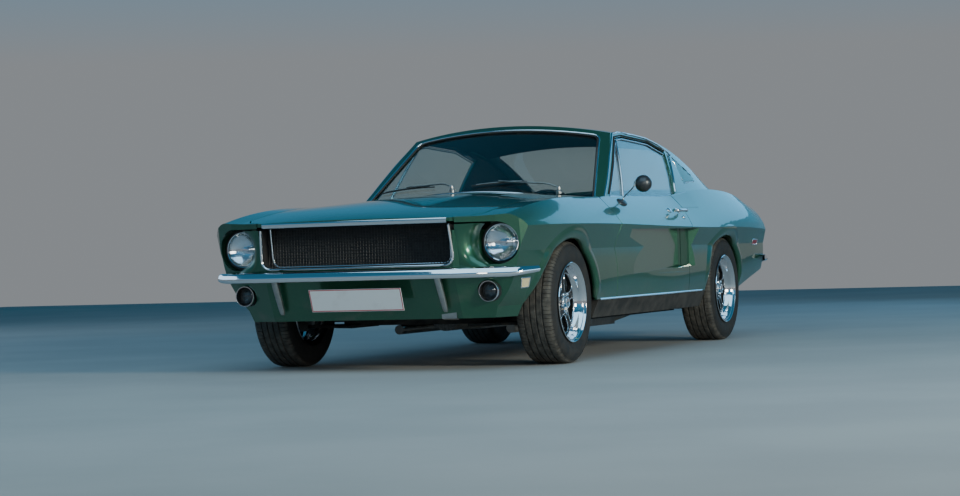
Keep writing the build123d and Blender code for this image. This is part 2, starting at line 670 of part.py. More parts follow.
def floor_pan(v):
    """Floor, sills, tunnel, wheel aprons, hinge posts, rear shelf and rails."""
    def ribbon(points, y0, y1, depth):
        lower = [(x, z - depth) for x, z in reversed(points)]
        return prism(list(points) + lower, y0, y1)

    pan_line = [(940, FLOOR_Z), (-560, FLOOR_Z), (-600, SEAT_PAN_Z), (-880, SEAT_PAN_Z)]
    boot_line = [(-880, SEAT_PAN_Z), (-960, KICK_Z), (-1640, KICK_Z), (-1700, BOOT_Z), (-2180, BOOT_Z)]
    wide = SILL_IN_Y - FIT
    floor = ribbon(pan_line, -wide, wide, PAN) + ribbon(boot_line, -REAR_FLOOR_Y, REAR_FLOOR_Y, PAN)
    cavity = block(-1000, 960, PAN - TUNNEL_Y, TUNNEL_Y - PAN, 150, TUNNEL_Z - PAN)
    tunnel = block(-930, 940, -TUNNEL_Y, TUNNEL_Y, FLOOR_Z - PAN, TUNNEL_Z)
    tunnel_end = prism([(-930, 200), (-930, 350), (-880, 280), (-860, 200)], -TUNNEL_Y, TUNNEL_Y)
    floor = (floor + tunnel) - cavity - tunnel_end
    rear_rail = block(-2150, RAIL_FRONT_X, 470, 530, RAIL_LOW_Z, BOOT_Z - PAN / 2)
    riser = block(-1660, RAIL_FRONT_X, 470, 530, RAIL_LOW_Z, KICK_Z - PAN / 2)
    rear_rail = (rear_rail + riser) - axle_way()
    toe_wall = block(TOE_WALL_X, FIREWALL_X, TOE_WALL_Y, 660, FLOOR_Z - PAN, 700)
    toe_room = block(TOE_WALL_X - FIT, 960, TOE_WALL_Y - FIT, 960, 150, 700)
    floor = floor + rear_rail + other_side(rear_rail) - toe_room - other_side(toe_room)

    sill = block(SILL_REAR_X, SILL_FRONT_X, SILL_IN_Y, 960, HEM_Z, SILL_Z)
    sill = v.raw_body & (sill + block(0, SILL_FRONT_X + 40, 820, 960, HEM_Z, SILL_Z))
    flange = block(SILL_REAR_X, TOE_WALL_X + 4, SILL_IN_Y, SILL_IN_Y + PAN, FLOOR_Z - PAN, HEM_Z + 20)
    rail = block(940, 2110, 380, 440, 260, 345)
    apron = block(930, 2120, APRON_Y - 12, APRON_Y, 260, 700)
    post = block(POST_X0, POST_X1, SILL_IN_Y, 780, SILL_Z - 10, 800)
    side = sill + flange + rail + apron + post + toe_wall
    side = side + hinge_bracket(HOOD_BRACKET, HOOD_HINGE_X, HOOD_HINGE_Z, HOOD_LUG_Y)
    for x in JACK_X:
        side = side + block(x - 35, x + 35, JACK_Y - 25, JACK_Y + 25, JACK_Z, HEM_Z + 10)
    for z in HINGE_HEIGHTS:
        strap = block(DOOR_HINGE_X - 12, POST_X0 + 4, 738, 752, z - 16, z + 16)
        strap = strap + block(DOOR_HINGE_X - 12, DOOR_HINGE_X + 12, 738, DOOR_HINGE_Y, z - 16, z + 16)
        strap = strap + rod(DOOR_HINGE_X, DOOR_HINGE_Y, z, "Z", 13, 32)
        strap = strap + rod(DOOR_HINGE_X, DOOR_HINGE_Y, z, "Z", HINGE_PIN_R, HINGE_GAP + 28)
        side = side + strap
    radiator_wall = block(2100, RADIATOR_X, -APRON_Y, APRON_Y, 280, 700)
    frame = side + other_side(side) + radiator_wall

    shelf = block(SHELF_REAR_X, BULKHEAD_X, -REAR_FLOOR_Y, REAR_FLOOR_Y, SHELF_Z - PAN, SHELF_Z)
    shelf = shelf + block(BULKHEAD_X - PAN, BULKHEAD_X, -REAR_FLOOR_Y, REAR_FLOOR_Y, KICK_Z + FIT, SHELF_Z)
    hanger = hinge_bracket(LID_BRACKET, LID_HINGE_X, LID_HINGE_Z, LID_LUG_Y)
    shelf = shelf + hanger + other_side(hanger)
    return one_solid(floor) + one_solid(frame) + one_solid(shelf)


def dashboard():
    """Firewall and instrument panel in one moulding."""
    wall_x = FIREWALL_X + FIT
    profile = [
        (wall_x, 230), (wall_x + PAN, 230), (wall_x + PAN, 800), (900, 842), (700, 842), (590, 800),
        (556, 740), (600, 640), (690, 640), (720, 760), (wall_x, 760),
    ]
    board = prism(profile, FIT - 380, 380 - FIT)
    pad = [(900, 842), (700, 842), (590, 800), (556, 740), (600, 640), (690, 640), (720, 760), (850, 760)]
    wide = prism(pad, -640 + FIT, 640 - FIT)
    gearbox_way = block(900, 1000, -TUNNEL_Y - 4, TUNNEL_Y + 4, 0, 430)
    return one_solid(board + wide - gearbox_way - steering_column(FIT) - hood_edge(SHUT + 2))


WHEEL_HUB = (470.0, 370.0, 742.0)


COLUMN_TILT = 24.0
COLUMN_R = 26.0


def steering_column(grow=0.0):
    hub = Vector(*WHEEL_HUB)
    axis = Vector(-cos(radians(COLUMN_TILT)), 0, sin(radians(COLUMN_TILT)))
    return bar(tuple(hub), tuple(hub - axis * 190), COLUMN_R + grow)


def steering_wheel():
    """Steering wheel and column."""
    hub = Vector(*WHEEL_HUB)
    axis = Vector(-cos(radians(COLUMN_TILT)), 0, sin(radians(COLUMN_TILT)))
    plane = Plane(origin=hub, z_dir=axis)
    rim = plane * Torus(185, 13)
    spokes = plane * Box(360, 24, 8)
    boss = plane * Cylinder(42, 40)
    return one_solid(rim + spokes + boss + steering_column())


SEAT_Y = (155.0, 625.0)


def front_seat():
    """Left bucket seat: cushion and squab."""
    low = FLOOR_Z + FIT
    seat_side = [(330, 260), (345, 420), (-150, 380), (-190, 240), (-120, low), (280, low)]
    back_side = [(-150, 380), (-190, 240), (-250, 250), (-430, 860), (-400, 905), (-330, 900)]
    cushion, squab = prism(seat_side, *SEAT_Y), prism(back_side, *SEAT_Y)
    seat = one_solid(cushion + squab)
    return fillet(seat.edges().filter_by(lambda e: abs(e.tangent_at(0.5).Y) < 0.2), 22)


def rear_seat():
    low = SEAT_PAN_Z + FIT
    cushion = prism([(-600, low), (-570, 455), (-885, 440), (-905, 395), (-870, low)], -565, 565)
    back = BULKHEAD_X + FIT
    back_side = [(-885, 440), (-905, 395), (-965, 456), (back, 456), (back, 780), (-1005, 806), (-965, 790)]
    squab = prism(back_side, -565, 565)
    over_tunnel = block(-1000, -500, -TUNNEL_Y - FIT, TUNNEL_Y + FIT, 0, TUNNEL_Z + FIT)
    return one_solid(cushion + squab - over_tunnel)


ENGINE_HALF_Y, ENGINE_LOW_Z = 290.0, 335.0


def engine():
    """Engine and gearbox as plain blocks at their place."""
    motor = block(1160, 1830, -ENGINE_HALF_Y, ENGINE_HALF_Y, ENGINE_LOW_Z + FIT, 690)
    box = rod(860, 0, 250, "X", 84, 620)
    bell = rod(1120, 0, 300, "X", 120, 100) & block(900, 1300, -200, 200, 180, 600)
    return one_solid(motor + bell + box)


def front_suspension():
    """Cross member and control arms, with the ball joint pads on the steering axis."""
    beam = block(FRONT_AXLE_X - 55, FRONT_AXLE_X + 55, -APRON_Y + 20, APRON_Y - 20, 215, 260 - FIT)
    tower = block(FRONT_AXLE_X - 40, FRONT_AXLE_X + 40, ENGINE_HALF_Y - 30, 376, 215, ENGINE_LOW_Z)
    piece = beam + tower + other_side(tower)
    near, far = FRONT_AXLE_X - 26, FRONT_AXLE_X + 26
    for z, inner in ((205, 330), (420, APRON_Y + FIT)):
        arm = prism([(near, z), (far, z), (far, z + 18), (near, z + 18)], inner, KINGPIN_Y)
        pad = rod(FRONT_AXLE_X, KINGPIN_Y, z + 9, "Z", 30, 18)
        root = [(FRONT_AXLE_X - 170, inner), (FRONT_AXLE_X + 170, inner)]
        brace = plan(root + [(far, KINGPIN_Y - 60), (near, KINGPIN_Y - 60)], z, z + 14)
        whole = arm + pad + brace
        piece = piece + whole + other_side(whole)
    return piece


def knuckle():
    """Left steering knuckle: upright, spindle, brake drum and steering arm."""
    low, high = 205 + 18 + FIT, 420 - FIT
    upright = block(FRONT_AXLE_X - 24, FRONT_AXLE_X + 24, KINGPIN_Y - 22, KINGPIN_Y + 22, low, high)
    pads = rod(FRONT_AXLE_X, KINGPIN_Y, low + 10, "Z", 28, 20)
    pads = pads + rod(FRONT_AXLE_X, KINGPIN_Y, high - 10, "Z", 28, 20)
    drum = rod(FRONT_AXLE_X, WHEEL_Y - 32, AXLE_Z, "Y", BRAKE_R, 52)
    stub = rod(FRONT_AXLE_X, KINGPIN_Y + 34, AXLE_Z, "Y", 34, 60)
    hub_face = WHEEL_Y + SPOKE_FACE - SPOKE_DEPTH - FIT
    flange = rod(FRONT_AXLE_X, (WHEEL_Y - 8 + hub_face) / 2, AXLE_Z, "Y", 60, hub_face - WHEEL_Y + 8)
    arm = block(FRONT_AXLE_X - 130, FRONT_AXLE_X, KINGPIN_Y - 40, KINGPIN_Y - 16, 262, 286)
    return one_solid(upright + pads + drum + stub + flange + arm)


def rear_axle():
    """Live axle with drums, leaf springs and the shaft to the gearbox."""
    hub_face = WHEEL_Y + SPOKE_FACE - SPOKE_DEPTH - FIT
    tube = rod(REAR_AXLE_X, 0, AXLE_Z, "Y", AXLE_TUBE_R, 2 * (WHEEL_Y - 40))
    bulb = Pos(REAR_AXLE_X, 0, AXLE_Z) * Sphere(98)
    nose = rod(REAR_AXLE_X + 110, 0, AXLE_Z, "X", 52, 160)
    shaft = bar((REAR_AXLE_X + 150, 0, AXLE_Z), (540, 0, 250), 34)
    piece = tube + bulb + nose + shaft
    front_z = SEAT_PAN_Z - PAN - FIT
    for side in (1, -1):
        piece = piece + rod(REAR_AXLE_X, side * (WHEEL_Y - 32), AXLE_Z, "Y", BRAKE_R, 52)
        length = hub_face - WHEEL_Y + 8
        piece = piece + rod(REAR_AXLE_X, side * (hub_face - length / 2), AXLE_Z, "Y", 60, length)
        spring = prism(
            [
                (-620, front_z), (-650, 258), (REAR_AXLE_X + 120, 252), (REAR_AXLE_X - 120, 252),
                (-1830, 312), (-1910, RAIL_LOW_Z - FIT), (-1860, RAIL_LOW_Z - FIT), (-1815, 328),
                (REAR_AXLE_X - 110, 284), (REAR_AXLE_X + 110, 284), (-700, 276), (-690, front_z),
            ],
            side * 475, side * 525,
        )
        piece = piece + spring
    return one_solid(piece)


def exhaust():
    """Twin pipes with silencers and open tail ends."""
    pipes = Part()
    for side in (1, -1):
        path = FilletPolyline(
            (1050, side * 330, 172), (-640, side * 330, 172), (-860, side * 330, 190),
            (-1160, side * 250, 190), (-1420, side * 250, 190), (-1800, side * 560, 260),
            (-2250, side * 560, 260), radius=90,
        )
        start = Plane(origin=(1050, side * 330, 172), z_dir=(-1, 0, 0))
        pipe = sweep(start * Circle(26), path=path)
        box = block(-420, 60, side * 250, side * 410, 138, 200 - FIT)
        pipes = pipes + pipe + box
        pipes = pipes - rod(-2210, side * 560, 260, "X", 22, 160)
    return pipes


def fuel_tank():
    return block(-2110, -1720, -400, 400, 270, BOOT_Z - PAN - FIT)


# Wipers: pivot (x, y) on the cowl, and both ends of the blade (y, distance up the screen)
WIPERS = (
    ((716, 500), (-11, 90), (296, 149)),
    ((786, -115), (-622, 189), (-249, 120)),
)
WIPER_BLADE_WIDTH = 9.0


def on_screen(y, run, out=0.0):
    """A point on the windscreen's surface, a distance across the car and up the slope."""
    slope = radians(SCREEN_SLOPE)
    normal = Vector(sin(slope), 0, cos(slope))
    uphill = Vector(-cos(slope), 0, sin(slope))
    turn = asin(y / SCREEN_R)
    outwards = normal * cos(turn) + Vector(0, sin(turn), 0)
    return Vector(SCREEN_X, 0, SCREEN_Z) + uphill * run + (outwards - normal) * SCREEN_R + outwards * out


def wipers(v):
    """Two wipers at rest: curved blades on the glass, with arms from their pivots on the cowl."""
    skin = screen_body(-10) - screen_body(SCREEN_SET - FIT)
    pieces = Part()
    for (pivot_x, pivot_y), (y0, run0), (y1, run1) in WIPERS:
        start, end = on_screen(y0, run0), on_screen(y1, run1)
        middle = on_screen((y0 + y1) / 2, (run0 + run1) / 2, 6)
        across = Plane(origin=(start + end) * 0.5, x_dir=(end - start).normalized(), z_dir=(0, 0, 1))
        blade = (across * Box((end - start).length, WIPER_BLADE_WIDTH, 90)) & skin
        pivot = rod(pivot_x, pivot_y, 908, "Z", 11, 56) - v.raw_body
        arm = bar((pivot_x, pivot_y, 930), tuple(middle), 4)
        pieces = pieces + one_solid(blade + pivot + arm)
    return pieces


def bumper_outline(points, inset, z):
    """Closed outline of a bumper blade seen from above: one smooth curve outside and one inside."""
    sign = 1 if points[0][0] > 0 else -1
    last = len(points) - 1

    def curve(row):
        return Spline(*[(x, -y, z) for x, y in reversed(row[1:])], *[(x, y, z) for x, y in row])

    outer = curve([(x - sign * inset, y - inset * i / last) for i, (x, y) in enumerate(points)])
    inner = curve([(x - sign * BUMPER_DEPTH, y - BUMPER_DEPTH * i / last) for i, (x, y) in enumerate(points)])
    return Wire([outer, Line(outer @ 1, inner @ 1), inner, Line(inner @ 0, outer @ 0)])


# Section of a bumper blade: height from its lower edge, and how far the face is set back there
BUMPER_SECTION = ((0, 12), (3, 5), (10, 0), (40, 0), (48, 4), (52, 11))


def bumper(points):
    outlines = [bumper_outline(points, inset, BUMPER_LOW_Z + up) for up, inset in BUMPER_SECTION]
    return Solid.make_loft(outlines, ruled=True)


def bumper_iron(grow=0.0):
    """Left iron that holds the front bumper to the radiator wall."""
    return block(RADIATOR_X + FIT - grow, 2310, 395 - grow, 425 + grow, 468 - grow, 490 + grow)


def front_bumper():
    blade = bumper(FRONT_BUMPER)
    guard = prism([(2318, 470), (2290, 470), (2204, 306), (2222, 292), (2246, 300)], 436, 478)
    iron = bumper_iron()
    return one_solid(blade + guard + iron + other_side(guard + iron))


def rear_bumper():
    blade = bumper(REAR_BUMPER)
    guard = prism([(-2316, 480), (-2290, 480), (-2250, 330), (-2276, 320), (-2310, 400)], 420, 462)
    iron = block(-2310, -2200, 300, 330, 468, 490) - tail_volume()
    return one_solid(blade + guard + iron + other_side(guard + iron))


def grille(v):
    """Bright surround, and the mesh set back inside it."""
    ring = mouth(GRILLE_X, 2500, -FIT) - mouth(GRILLE_X - 10, 2510, -10)
    ring = ring & nose_volume(-6)
    plate = mouth(GRILLE_X, GRILLE_X + 8, -9)
    pitch_y = 2 * (MOUTH_HALF_Y - 22) / GRILLE_COLUMNS
    pitch_z = (MOUTH_HIGH_Z - MOUTH_LOW_Z - 44) / GRILLE_ROWS
    face = Plane(origin=(GRILLE_X - 5, 0, (MOUTH_LOW_Z + MOUTH_HIGH_Z) / 2), x_dir=(0, 1, 0), z_dir=(1, 0, 0))
    grid = GridLocations(pitch_y, pitch_z, GRILLE_COLUMNS, GRILLE_ROWS)
    cells = Sketch() + [place * Rectangle(pitch_y - 8, pitch_z - 8) for place in grid]
    return one_solid(ring + (plate - extrude(face * cells, amount=30)))


def front_lamps():
    """Headlamps in their rings, and the fog lamps in the valance."""
    head_profile = [
        (0, 36), (LENS_R * 0.5, 32), (LENS_R - 2, 17), (LENS_R, 24), (LAMP_RING_R - 4, 20), (LAMP_RING_R, 0),
        (LENS_R, 0), (LENS_R, -20), (0, -20),
    ]
    fog_profile = [(0, 20), (FOG_R - 12, 14), (FOG_R - 10, 22), (FOG_R, 16), (FOG_R, -40), (0, -40)]
    seat_x = POCKET_BACK_X + FIT
    lamps = Part()
    kinds = (((seat_x, LAMP_Y, LAMP_Z), head_profile), ((FOG_X, FOG_Y, FOG_Z), fog_profile))
    for side in (1, -1):
        for place, profile in kinds:
            section = make_face(Polyline(*[(r, 0, d) for r, d in profile], close=True))
            turned = revolve(section, Axis.Z)
            lamps = lamps + Pos(place[0], side * place[1], place[2]) * Rot(0, 90, 0) * turned
    return lamps


LENSES = 3
LENS_Y, LENS_PITCH, LENS_WIDTH, LENS_CORNER = 380.0, 82.0, 60.0, 10.0


def lens(side, place, grow=0.0):
    """One upright tail lens, counted outwards."""
    y = side * (LENS_Y + place * LENS_PITCH)
    half = LENS_WIDTH / 2 + grow
    shape = block(-2244 + grow, -2276, y - half, y + half, 610 - grow, 738 + grow)
    return fillet(shape.edges().filter_by(Axis.X), LENS_CORNER + grow)


def tail_lamps():
    """Three upright lenses each side."""
    lamps = Part()
    for side in (1, -1):
        for place in range(LENSES):
            lamps = lamps + lens(side, place)
    return lamps


def number_plate():
    """Blank front plate on two brackets from the valance."""
    plate = Pos(2294, 0, 366) * Rot(0, 20, 0) * Box(4, 504, 118)
    bracket = block(2180, 2292, 110, 130, 352, 368) - nose_volume()
    return one_solid(plate + bracket + other_side(bracket))


def tyre(x, side):
    """Tyre with a rounded shoulder and an open bead."""
    half, bead = TYRE_W / 2, BEAD_W / 2
    outline = [
        (BEAD_R + FIT, -bead), (BEAD_R + FIT + 18, -bead - 8), (TYRE_R - 48, -half), (TYRE_R - 20, -half + 5),
        (TYRE_R - 3, -half + 20), (TYRE_R, -half + 40), (TYRE_R, half - 40), (TYRE_R - 3, half - 20),
        (TYRE_R - 20, half - 5), (TYRE_R - 48, half), (BEAD_R + FIT + 18, bead + 8), (BEAD_R + FIT, bead),
        (BEAD_R + FIT, bead - 22), (TYRE_R - 24, half - 26), (TYRE_R - 14, half - 60),
        (TYRE_R - 14, -half + 60), (TYRE_R - 24, -half + 26), (BEAD_R + FIT, -bead + 22),
    ]
    section = make_face(Polyline(*[(r, 0, w) for r, w in outline], close=True))
    return Pos(x, side * WHEEL_Y, AXLE_Z) * Rot(-90, 0, 0) * revolve(section, Axis.Z)


def wheel(x, side):
    """Wheel: barrel, five spokes round a hub, and the centre cap. Outboard is +Z while it is drawn."""
    seat = BEAD_W / 2 - 24
    well_r, wall_r = BEAD_R - RIM_WALL - RIM_DROP, BEAD_R - RIM_WALL
    half = BEAD_W / 2 + 15
    outboard = [
        (well_r, seat - 18), (wall_r, seat - 4), (wall_r, half - 18), (RIM_LIP_R - 6, half),
        (RIM_LIP_R, half), (RIM_LIP_R, half - 6), (BEAD_R, half - 14), (BEAD_R, seat),
        (BEAD_R - RIM_DROP, seat - 14),
    ]
    barrel = outboard + [(r, -w) for r, w in reversed(outboard)]
    shell = revolve(make_face(Polyline(*[(r, 0, w) for r, w in barrel], close=True)), Axis.Z)
    low = SPOKE_FACE - SPOKE_DEPTH
    disc = Pos(0, 0, low + SPOKE_DEPTH / 2) * Cylinder(HUB_R, SPOKE_DEPTH)
    reach = well_r + 3
    half_spoke = [(18, 30), (96, 17), (reach, 27)]
    half_groove = [(76, 9), (100, 7), (reach - 14, 13)]
    for step in range(SPOKES):
        turn = Rot(0, 0, 90 + step * 360 / SPOKES)
        spoke = make_face(Polyline(*half_spoke, *[(r, -y) for r, y in reversed(half_spoke)], close=True))
        groove = make_face(Polyline(*half_groove, *[(r, -y) for r, y in reversed(half_groove)], close=True))
        disc = disc + turn * extrude(Pos(0, 0, low) * spoke, amount=SPOKE_DEPTH)
        disc = disc - turn * extrude(Pos(0, 0, SPOKE_FACE - 9) * groove, amount=20)
    rim_ring = Pos(0, 0, low + 5) * (Cylinder(reach, 10) - Cylinder(reach - 14, 10))
    cap_profile = [(0, 0), (CAP_R, 0), (CAP_R, 6), (CAP_R - 5, 9), (CAP_R - 6, 22), (CAP_R - 11, 27), (0, 29)]
    cap = make_face(Polyline(*[(r, 0, SPOKE_FACE - 1 + d) for r, d in cap_profile], close=True))
    cap = revolve(cap, Axis.Z)
    piece = shell + disc + rim_ring + cap
    for step in range(SPOKES):
        turn = Rot(0, 0, 54 + step * 360 / SPOKES)
        piece = piece - turn * Pos(LUG_CIRCLE / 2, 0, low + 20) * Cylinder(LUG_HOLE_R, 60)
    facing = Rot(-90, 0, 0) if side > 0 else Rot(90, 0, 0)
    return Pos(x, side * WHEEL_Y, AXLE_Z) * facing * piece


def build():
    v = Volumes()
    left_wing, left_quarter, left_door, left_glass = front_wing(v), quarter(v), door(v), door_window(v)
    left_knuckle, left_seat = knuckle(), front_seat()
    nodes = {
        "front_wing_left": left_wing,
        "front_wing_right": other_side(left_wing),
        "front_valance": nose_valance(v),
        "front_bumper": front_bumper(),
        "front_lamps": front_lamps(),
        "grille": grille(v),
        "hood": hood(v),
        "cowl": cowl(v),
        "windscreen": windscreen(v),
        "wipers": wipers(v),
        "roof": roof(v),
        "rear_window": rear_window(v),
        "quarter_left": left_quarter,
        "quarter_right": other_side(left_quarter),
        "rear_panels": rear_panels(v),
        "boot_lid": boot_lid(v),
        "tail_lamps": tail_lamps(),
        "rear_bumper": rear_bumper(),
        "door_left": left_door,
        "door_right": other_side(left_door),
        "door_window_left": left_glass,
        "door_window_right": other_side(left_glass),
        "door_mirror": mirror_piece(v),
        "floor_pan": floor_pan(v),
        "dashboard": dashboard(),
        "steering_wheel": steering_wheel(),
        "seat_left": left_seat,
        "seat_right": other_side(left_seat),
        "rear_seat": rear_seat(),
        "engine": engine(),
        "front_suspension": front_suspension(),
        "knuckle_left": left_knuckle,
        "knuckle_right": other_side(left_knuckle),
        "rear_axle": rear_axle(),
        "exhaust": exhaust(),
        "fuel_tank": fuel_tank(),
        "number_plate": number_plate(),
    }
    for end, x in (("front", FRONT_AXLE_X), ("rear", REAR_AXLE_X)):
        for name, side in (("left", 1), ("right", -1)):
            nodes[f"tyre_{end}_{name}"] = tyre(x, side)
            nodes[f"wheel_{end}_{name}"] = wheel(x, side)
    return nodes


os.makedirs("parts", exist_ok=True)
for name, shape in build().items():
    export_step(shape, f"parts/{name}.step")
    print(name, round(shape.volume / 1e6, 3), "litres")
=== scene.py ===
"""Looks of the fastback muscle car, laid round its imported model. Metres, +X forwards, +Y to the left."""

from math import asin, atan2, copysign, cos, exp, hypot, radians, sin, tau

import bmesh
import bpy
from mathutils import Matrix, Vector
from mathutils.bvhtree import BVHTree


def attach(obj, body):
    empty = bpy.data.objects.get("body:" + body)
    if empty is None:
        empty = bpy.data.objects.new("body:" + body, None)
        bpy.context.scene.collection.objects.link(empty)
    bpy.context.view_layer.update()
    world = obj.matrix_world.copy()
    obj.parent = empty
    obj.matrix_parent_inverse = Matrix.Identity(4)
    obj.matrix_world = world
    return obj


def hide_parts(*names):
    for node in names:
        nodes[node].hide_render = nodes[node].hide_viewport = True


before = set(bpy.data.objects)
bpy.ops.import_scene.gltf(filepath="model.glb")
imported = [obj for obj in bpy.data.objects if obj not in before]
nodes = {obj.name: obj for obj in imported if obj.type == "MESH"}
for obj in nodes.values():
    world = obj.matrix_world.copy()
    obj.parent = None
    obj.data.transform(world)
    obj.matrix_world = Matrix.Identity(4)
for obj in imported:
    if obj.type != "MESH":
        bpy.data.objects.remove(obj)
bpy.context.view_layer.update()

# The photograph's camera
CAMERA_AT = (13.4309, 5.2419, 0.5990)
CAMERA_YAW, CAMERA_PITCH, CAMERA_ROLL = -2.7524, 0.0007, -0.0299
CAMERA_LENS = 92.6

# Sizes shared with the model
FRONT_AXLE_X, REAR_AXLE_X = 1.4815, -1.2615
WHEEL_Y, AXLE_Z = 0.746, 0.315
TYRE_R = 0.315
SIDES = (("left", 1), ("right", -1))
ENDS = (("front", FRONT_AXLE_X), ("rear", REAR_AXLE_X))

# Where rays towards the car start: ahead of it, behind it and beside it
AHEAD_X, BEHIND_X, BESIDE_Y = 4.0, -3.0, 1.5
FORWARDS, BACKWARDS, INWARD, OUTWARD = (1, 0, 0), (-1, 0, 0), (0, -1, 0), (0, 1, 0)


def add_camera():
    """The camera that took the photograph, fitted to the model."""
    data = bpy.data.cameras.new("photo_camera")
    data.lens = CAMERA_LENS
    data.sensor_width = 36
    data.clip_end = 200
    camera = bpy.data.objects.new("photo_camera", data)
    level = cos(CAMERA_PITCH)
    forward = Vector((level * cos(CAMERA_YAW), level * sin(CAMERA_YAW), sin(CAMERA_PITCH)))
    right = forward.cross(Vector((0, 0, 1))).normalized()
    up = right.cross(forward)
    right, up = (
        right * cos(CAMERA_ROLL) + up * sin(CAMERA_ROLL),
        up * cos(CAMERA_ROLL) - right * sin(CAMERA_ROLL),
    )
    turn = Matrix((right, up, -forward)).transposed().to_4x4()
    camera.matrix_world = Matrix.Translation(CAMERA_AT) @ turn
    bpy.context.scene.collection.objects.link(camera)
    bpy.context.scene.camera = camera


class Value:
    """A shader socket that adds Math nodes when it is used in an expression."""

    def __init__(self, finish, socket):
        self.finish, self.socket = finish, socket

    def maths(self, operation, *others):
        return self.finish.node("ShaderNodeMath", {"operation": operation}, [self, *others])

    def __add__(self, other):
        return self.maths("ADD", other)

    def __mul__(self, other):
        return self.maths("MULTIPLY", other)

    def __sub__(self, other):
        return self.maths("SUBTRACT", other)

    def __rsub__(self, other):
        return self.finish.node("ShaderNodeMath", {"operation": "SUBTRACT"}, [other, self])

    def __gt__(self, other):
        return self.maths("GREATER_THAN", other)

    def __lt__(self, other):
        return self.maths("LESS_THAN", other)

    def __pow__(self, other):
        return self.maths("POWER", other)

    def __abs__(self):
        return self.maths("ABSOLUTE")

    __radd__ = __add__
    __rmul__ = __mul__

    def fade(self, low, high):
        """Goes smoothly from 0 at low to 1 at high."""
        settings = {"interpolation_type": "SMOOTHSTEP"}
        return self.finish.node("ShaderNodeMapRange", settings,
                                {"Value": self, "From Min": low, "From Max": high})


class Finish:
    """A material with one Principled shader; the keywords are the constants of its sockets."""

    def __init__(self, name, **constants):
        self.material = bpy.data.materials.new(name)
        self.material.use_nodes = True
        self.tree = self.material.node_tree
        self.shader = self.tree.nodes["Principled BSDF"]
        for key, value in constants.items():
            self.socket(key).default_value = (*value, 1) if isinstance(value, tuple) else value

    def socket(self, key):
        return self.shader.inputs[key.replace("_", " ").title().replace("Ior", "IOR")]

    def node(self, kind, settings=None, inputs=None, out=0):
        made = self.tree.nodes.new(kind)
        for key, value in (settings or {}).items():
            setattr(made, key, value)
        pairs = enumerate(inputs) if isinstance(inputs, (list, tuple)) else (inputs or {}).items()
        for key, value in pairs:
            if isinstance(value, Value):
                self.tree.links.new(value.socket, made.inputs[key])
            else:
                made.inputs[key].default_value = value
        return Value(self, made.outputs[out])

    def place(self, scale=(1, 1, 1)):
        """Object coordinates, stretched by a scale."""
        at = self.node("ShaderNodeTexCoord", out=3)
        if scale == (1, 1, 1):
            return at
        return self.node("ShaderNodeMapping", {}, {"Vector": at, "Scale": scale})

    def axis(self, index):
        return self.node("ShaderNodeSeparateXYZ", {}, [self.place()], out=index)

    def noise(self, scale, detail=2.0, stretch=(1, 1, 1), rough=0.5):
        inputs = {"Vector": self.place(stretch), "Scale": scale, "Detail": detail, "Roughness": rough}
        return self.node("ShaderNodeTexNoise", {}, inputs)

    def cells(self, scale, stretch=(1, 1, 1), feature="F1", out=0):
        inputs = {"Vector": self.place(stretch), "Scale": scale}
        return self.node("ShaderNodeTexVoronoi", {"feature": feature}, inputs, out)

    def mix(self, amount, a, b):
        """Colour a, or b where the amount is 1."""
        a, b = ((*c, 1) if isinstance(c, tuple) else c for c in (a, b))
        return self.node("ShaderNodeMix", {"data_type": "RGBA"}, {0: amount, 6: a, 7: b}, out=2)

    def bump(self, height, distance, strength=1.0, normal=None):
        inputs = {"Height": height, "Distance": distance, "Strength": strength}
        if normal:
            inputs["Normal"] = normal
        return self.node("ShaderNodeBump", {}, inputs)

    def feed(self, **links):
        for key, value in links.items():
            self.tree.links.new(value.socket, self.socket(key))
        return self.material


def paint_finish():
    """Dark green metallic under a clear coat, with fine flakes and faint orange peel."""
    f = Finish("green_metallic", metallic=0.55, roughness=0.34, coat_weight=1.0, coat_roughness=0.03)
    flakes = f.cells(1400.0, out=1)
    grain = f.noise(900.0, 1.0)
    film = f.noise(1.3, 3.0)
    body = f.mix(film.fade(0.35, 0.7), (0.010, 0.075, 0.046), (0.014, 0.094, 0.054))
    lit = f.mix(grain.fade(0.45, 0.75) * 0.45, body, (0.10, 0.30, 0.13))
    dust = f.noise(6.0, 5.0, (1, 1, 2)).fade(0.5, 0.85) * (1 - f.axis(2).fade(0.28, 0.5)) * 0.5
    colour = f.mix(dust, lit, (0.16, 0.15, 0.13))
    peel = f.bump(f.noise(240.0, 1.0), 0.0004, 0.05)
    return f.feed(base_color=colour, roughness=0.3 + dust * 0.4 + flakes * 0.05, normal=peel)


def chrome_finish(name="bright_chrome", wear=0.12):
    """Bright plating with a faint haze and a few specks."""
    f = Finish(name, metallic=1.0, base_color=(0.86, 0.87, 0.9))
    haze = f.noise(38.0, 4.0).fade(0.45, 0.9)
    specks = f.noise(420.0, 2.0).fade(0.66, 0.8)
    return f.feed(roughness=0.045 + haze * wear + specks * 0.12,
                  normal=f.bump(f.noise(55.0, 2.0), 0.0006, 0.06))


def plain_finish(name, colour, other, rough, scale=60.0, metallic=0.0, bump=0.0004, **constants):
    """A matt or satin finish whose colour and gloss change a little over the surface."""
    f = Finish(name, metallic=metallic, **constants)
    patches = f.noise(scale, 4.0)
    fine = f.noise(scale * 9, 2.0)
    tone = f.mix(patches.fade(0.3, 0.7), colour, other)
    return f.feed(base_color=tone, roughness=rough + fine * 0.12,
                  normal=f.bump(patches + fine * 0.6, bump, 0.5))


def glass_finish():
    """Tinted safety glass with a thin film of dust in patches."""
    f = Finish("tinted_glass", roughness=0.02, transmission_weight=1.0, ior=1.45, base_color=(0.8, 0.92, 0.9))
    film = f.noise(3.0, 5.0).fade(0.5, 0.85)
    return f.feed(roughness=film * 0.02, base_color=f.mix(film * 0.3, (0.84, 0.93, 0.91), (0.74, 0.84, 0.83)))


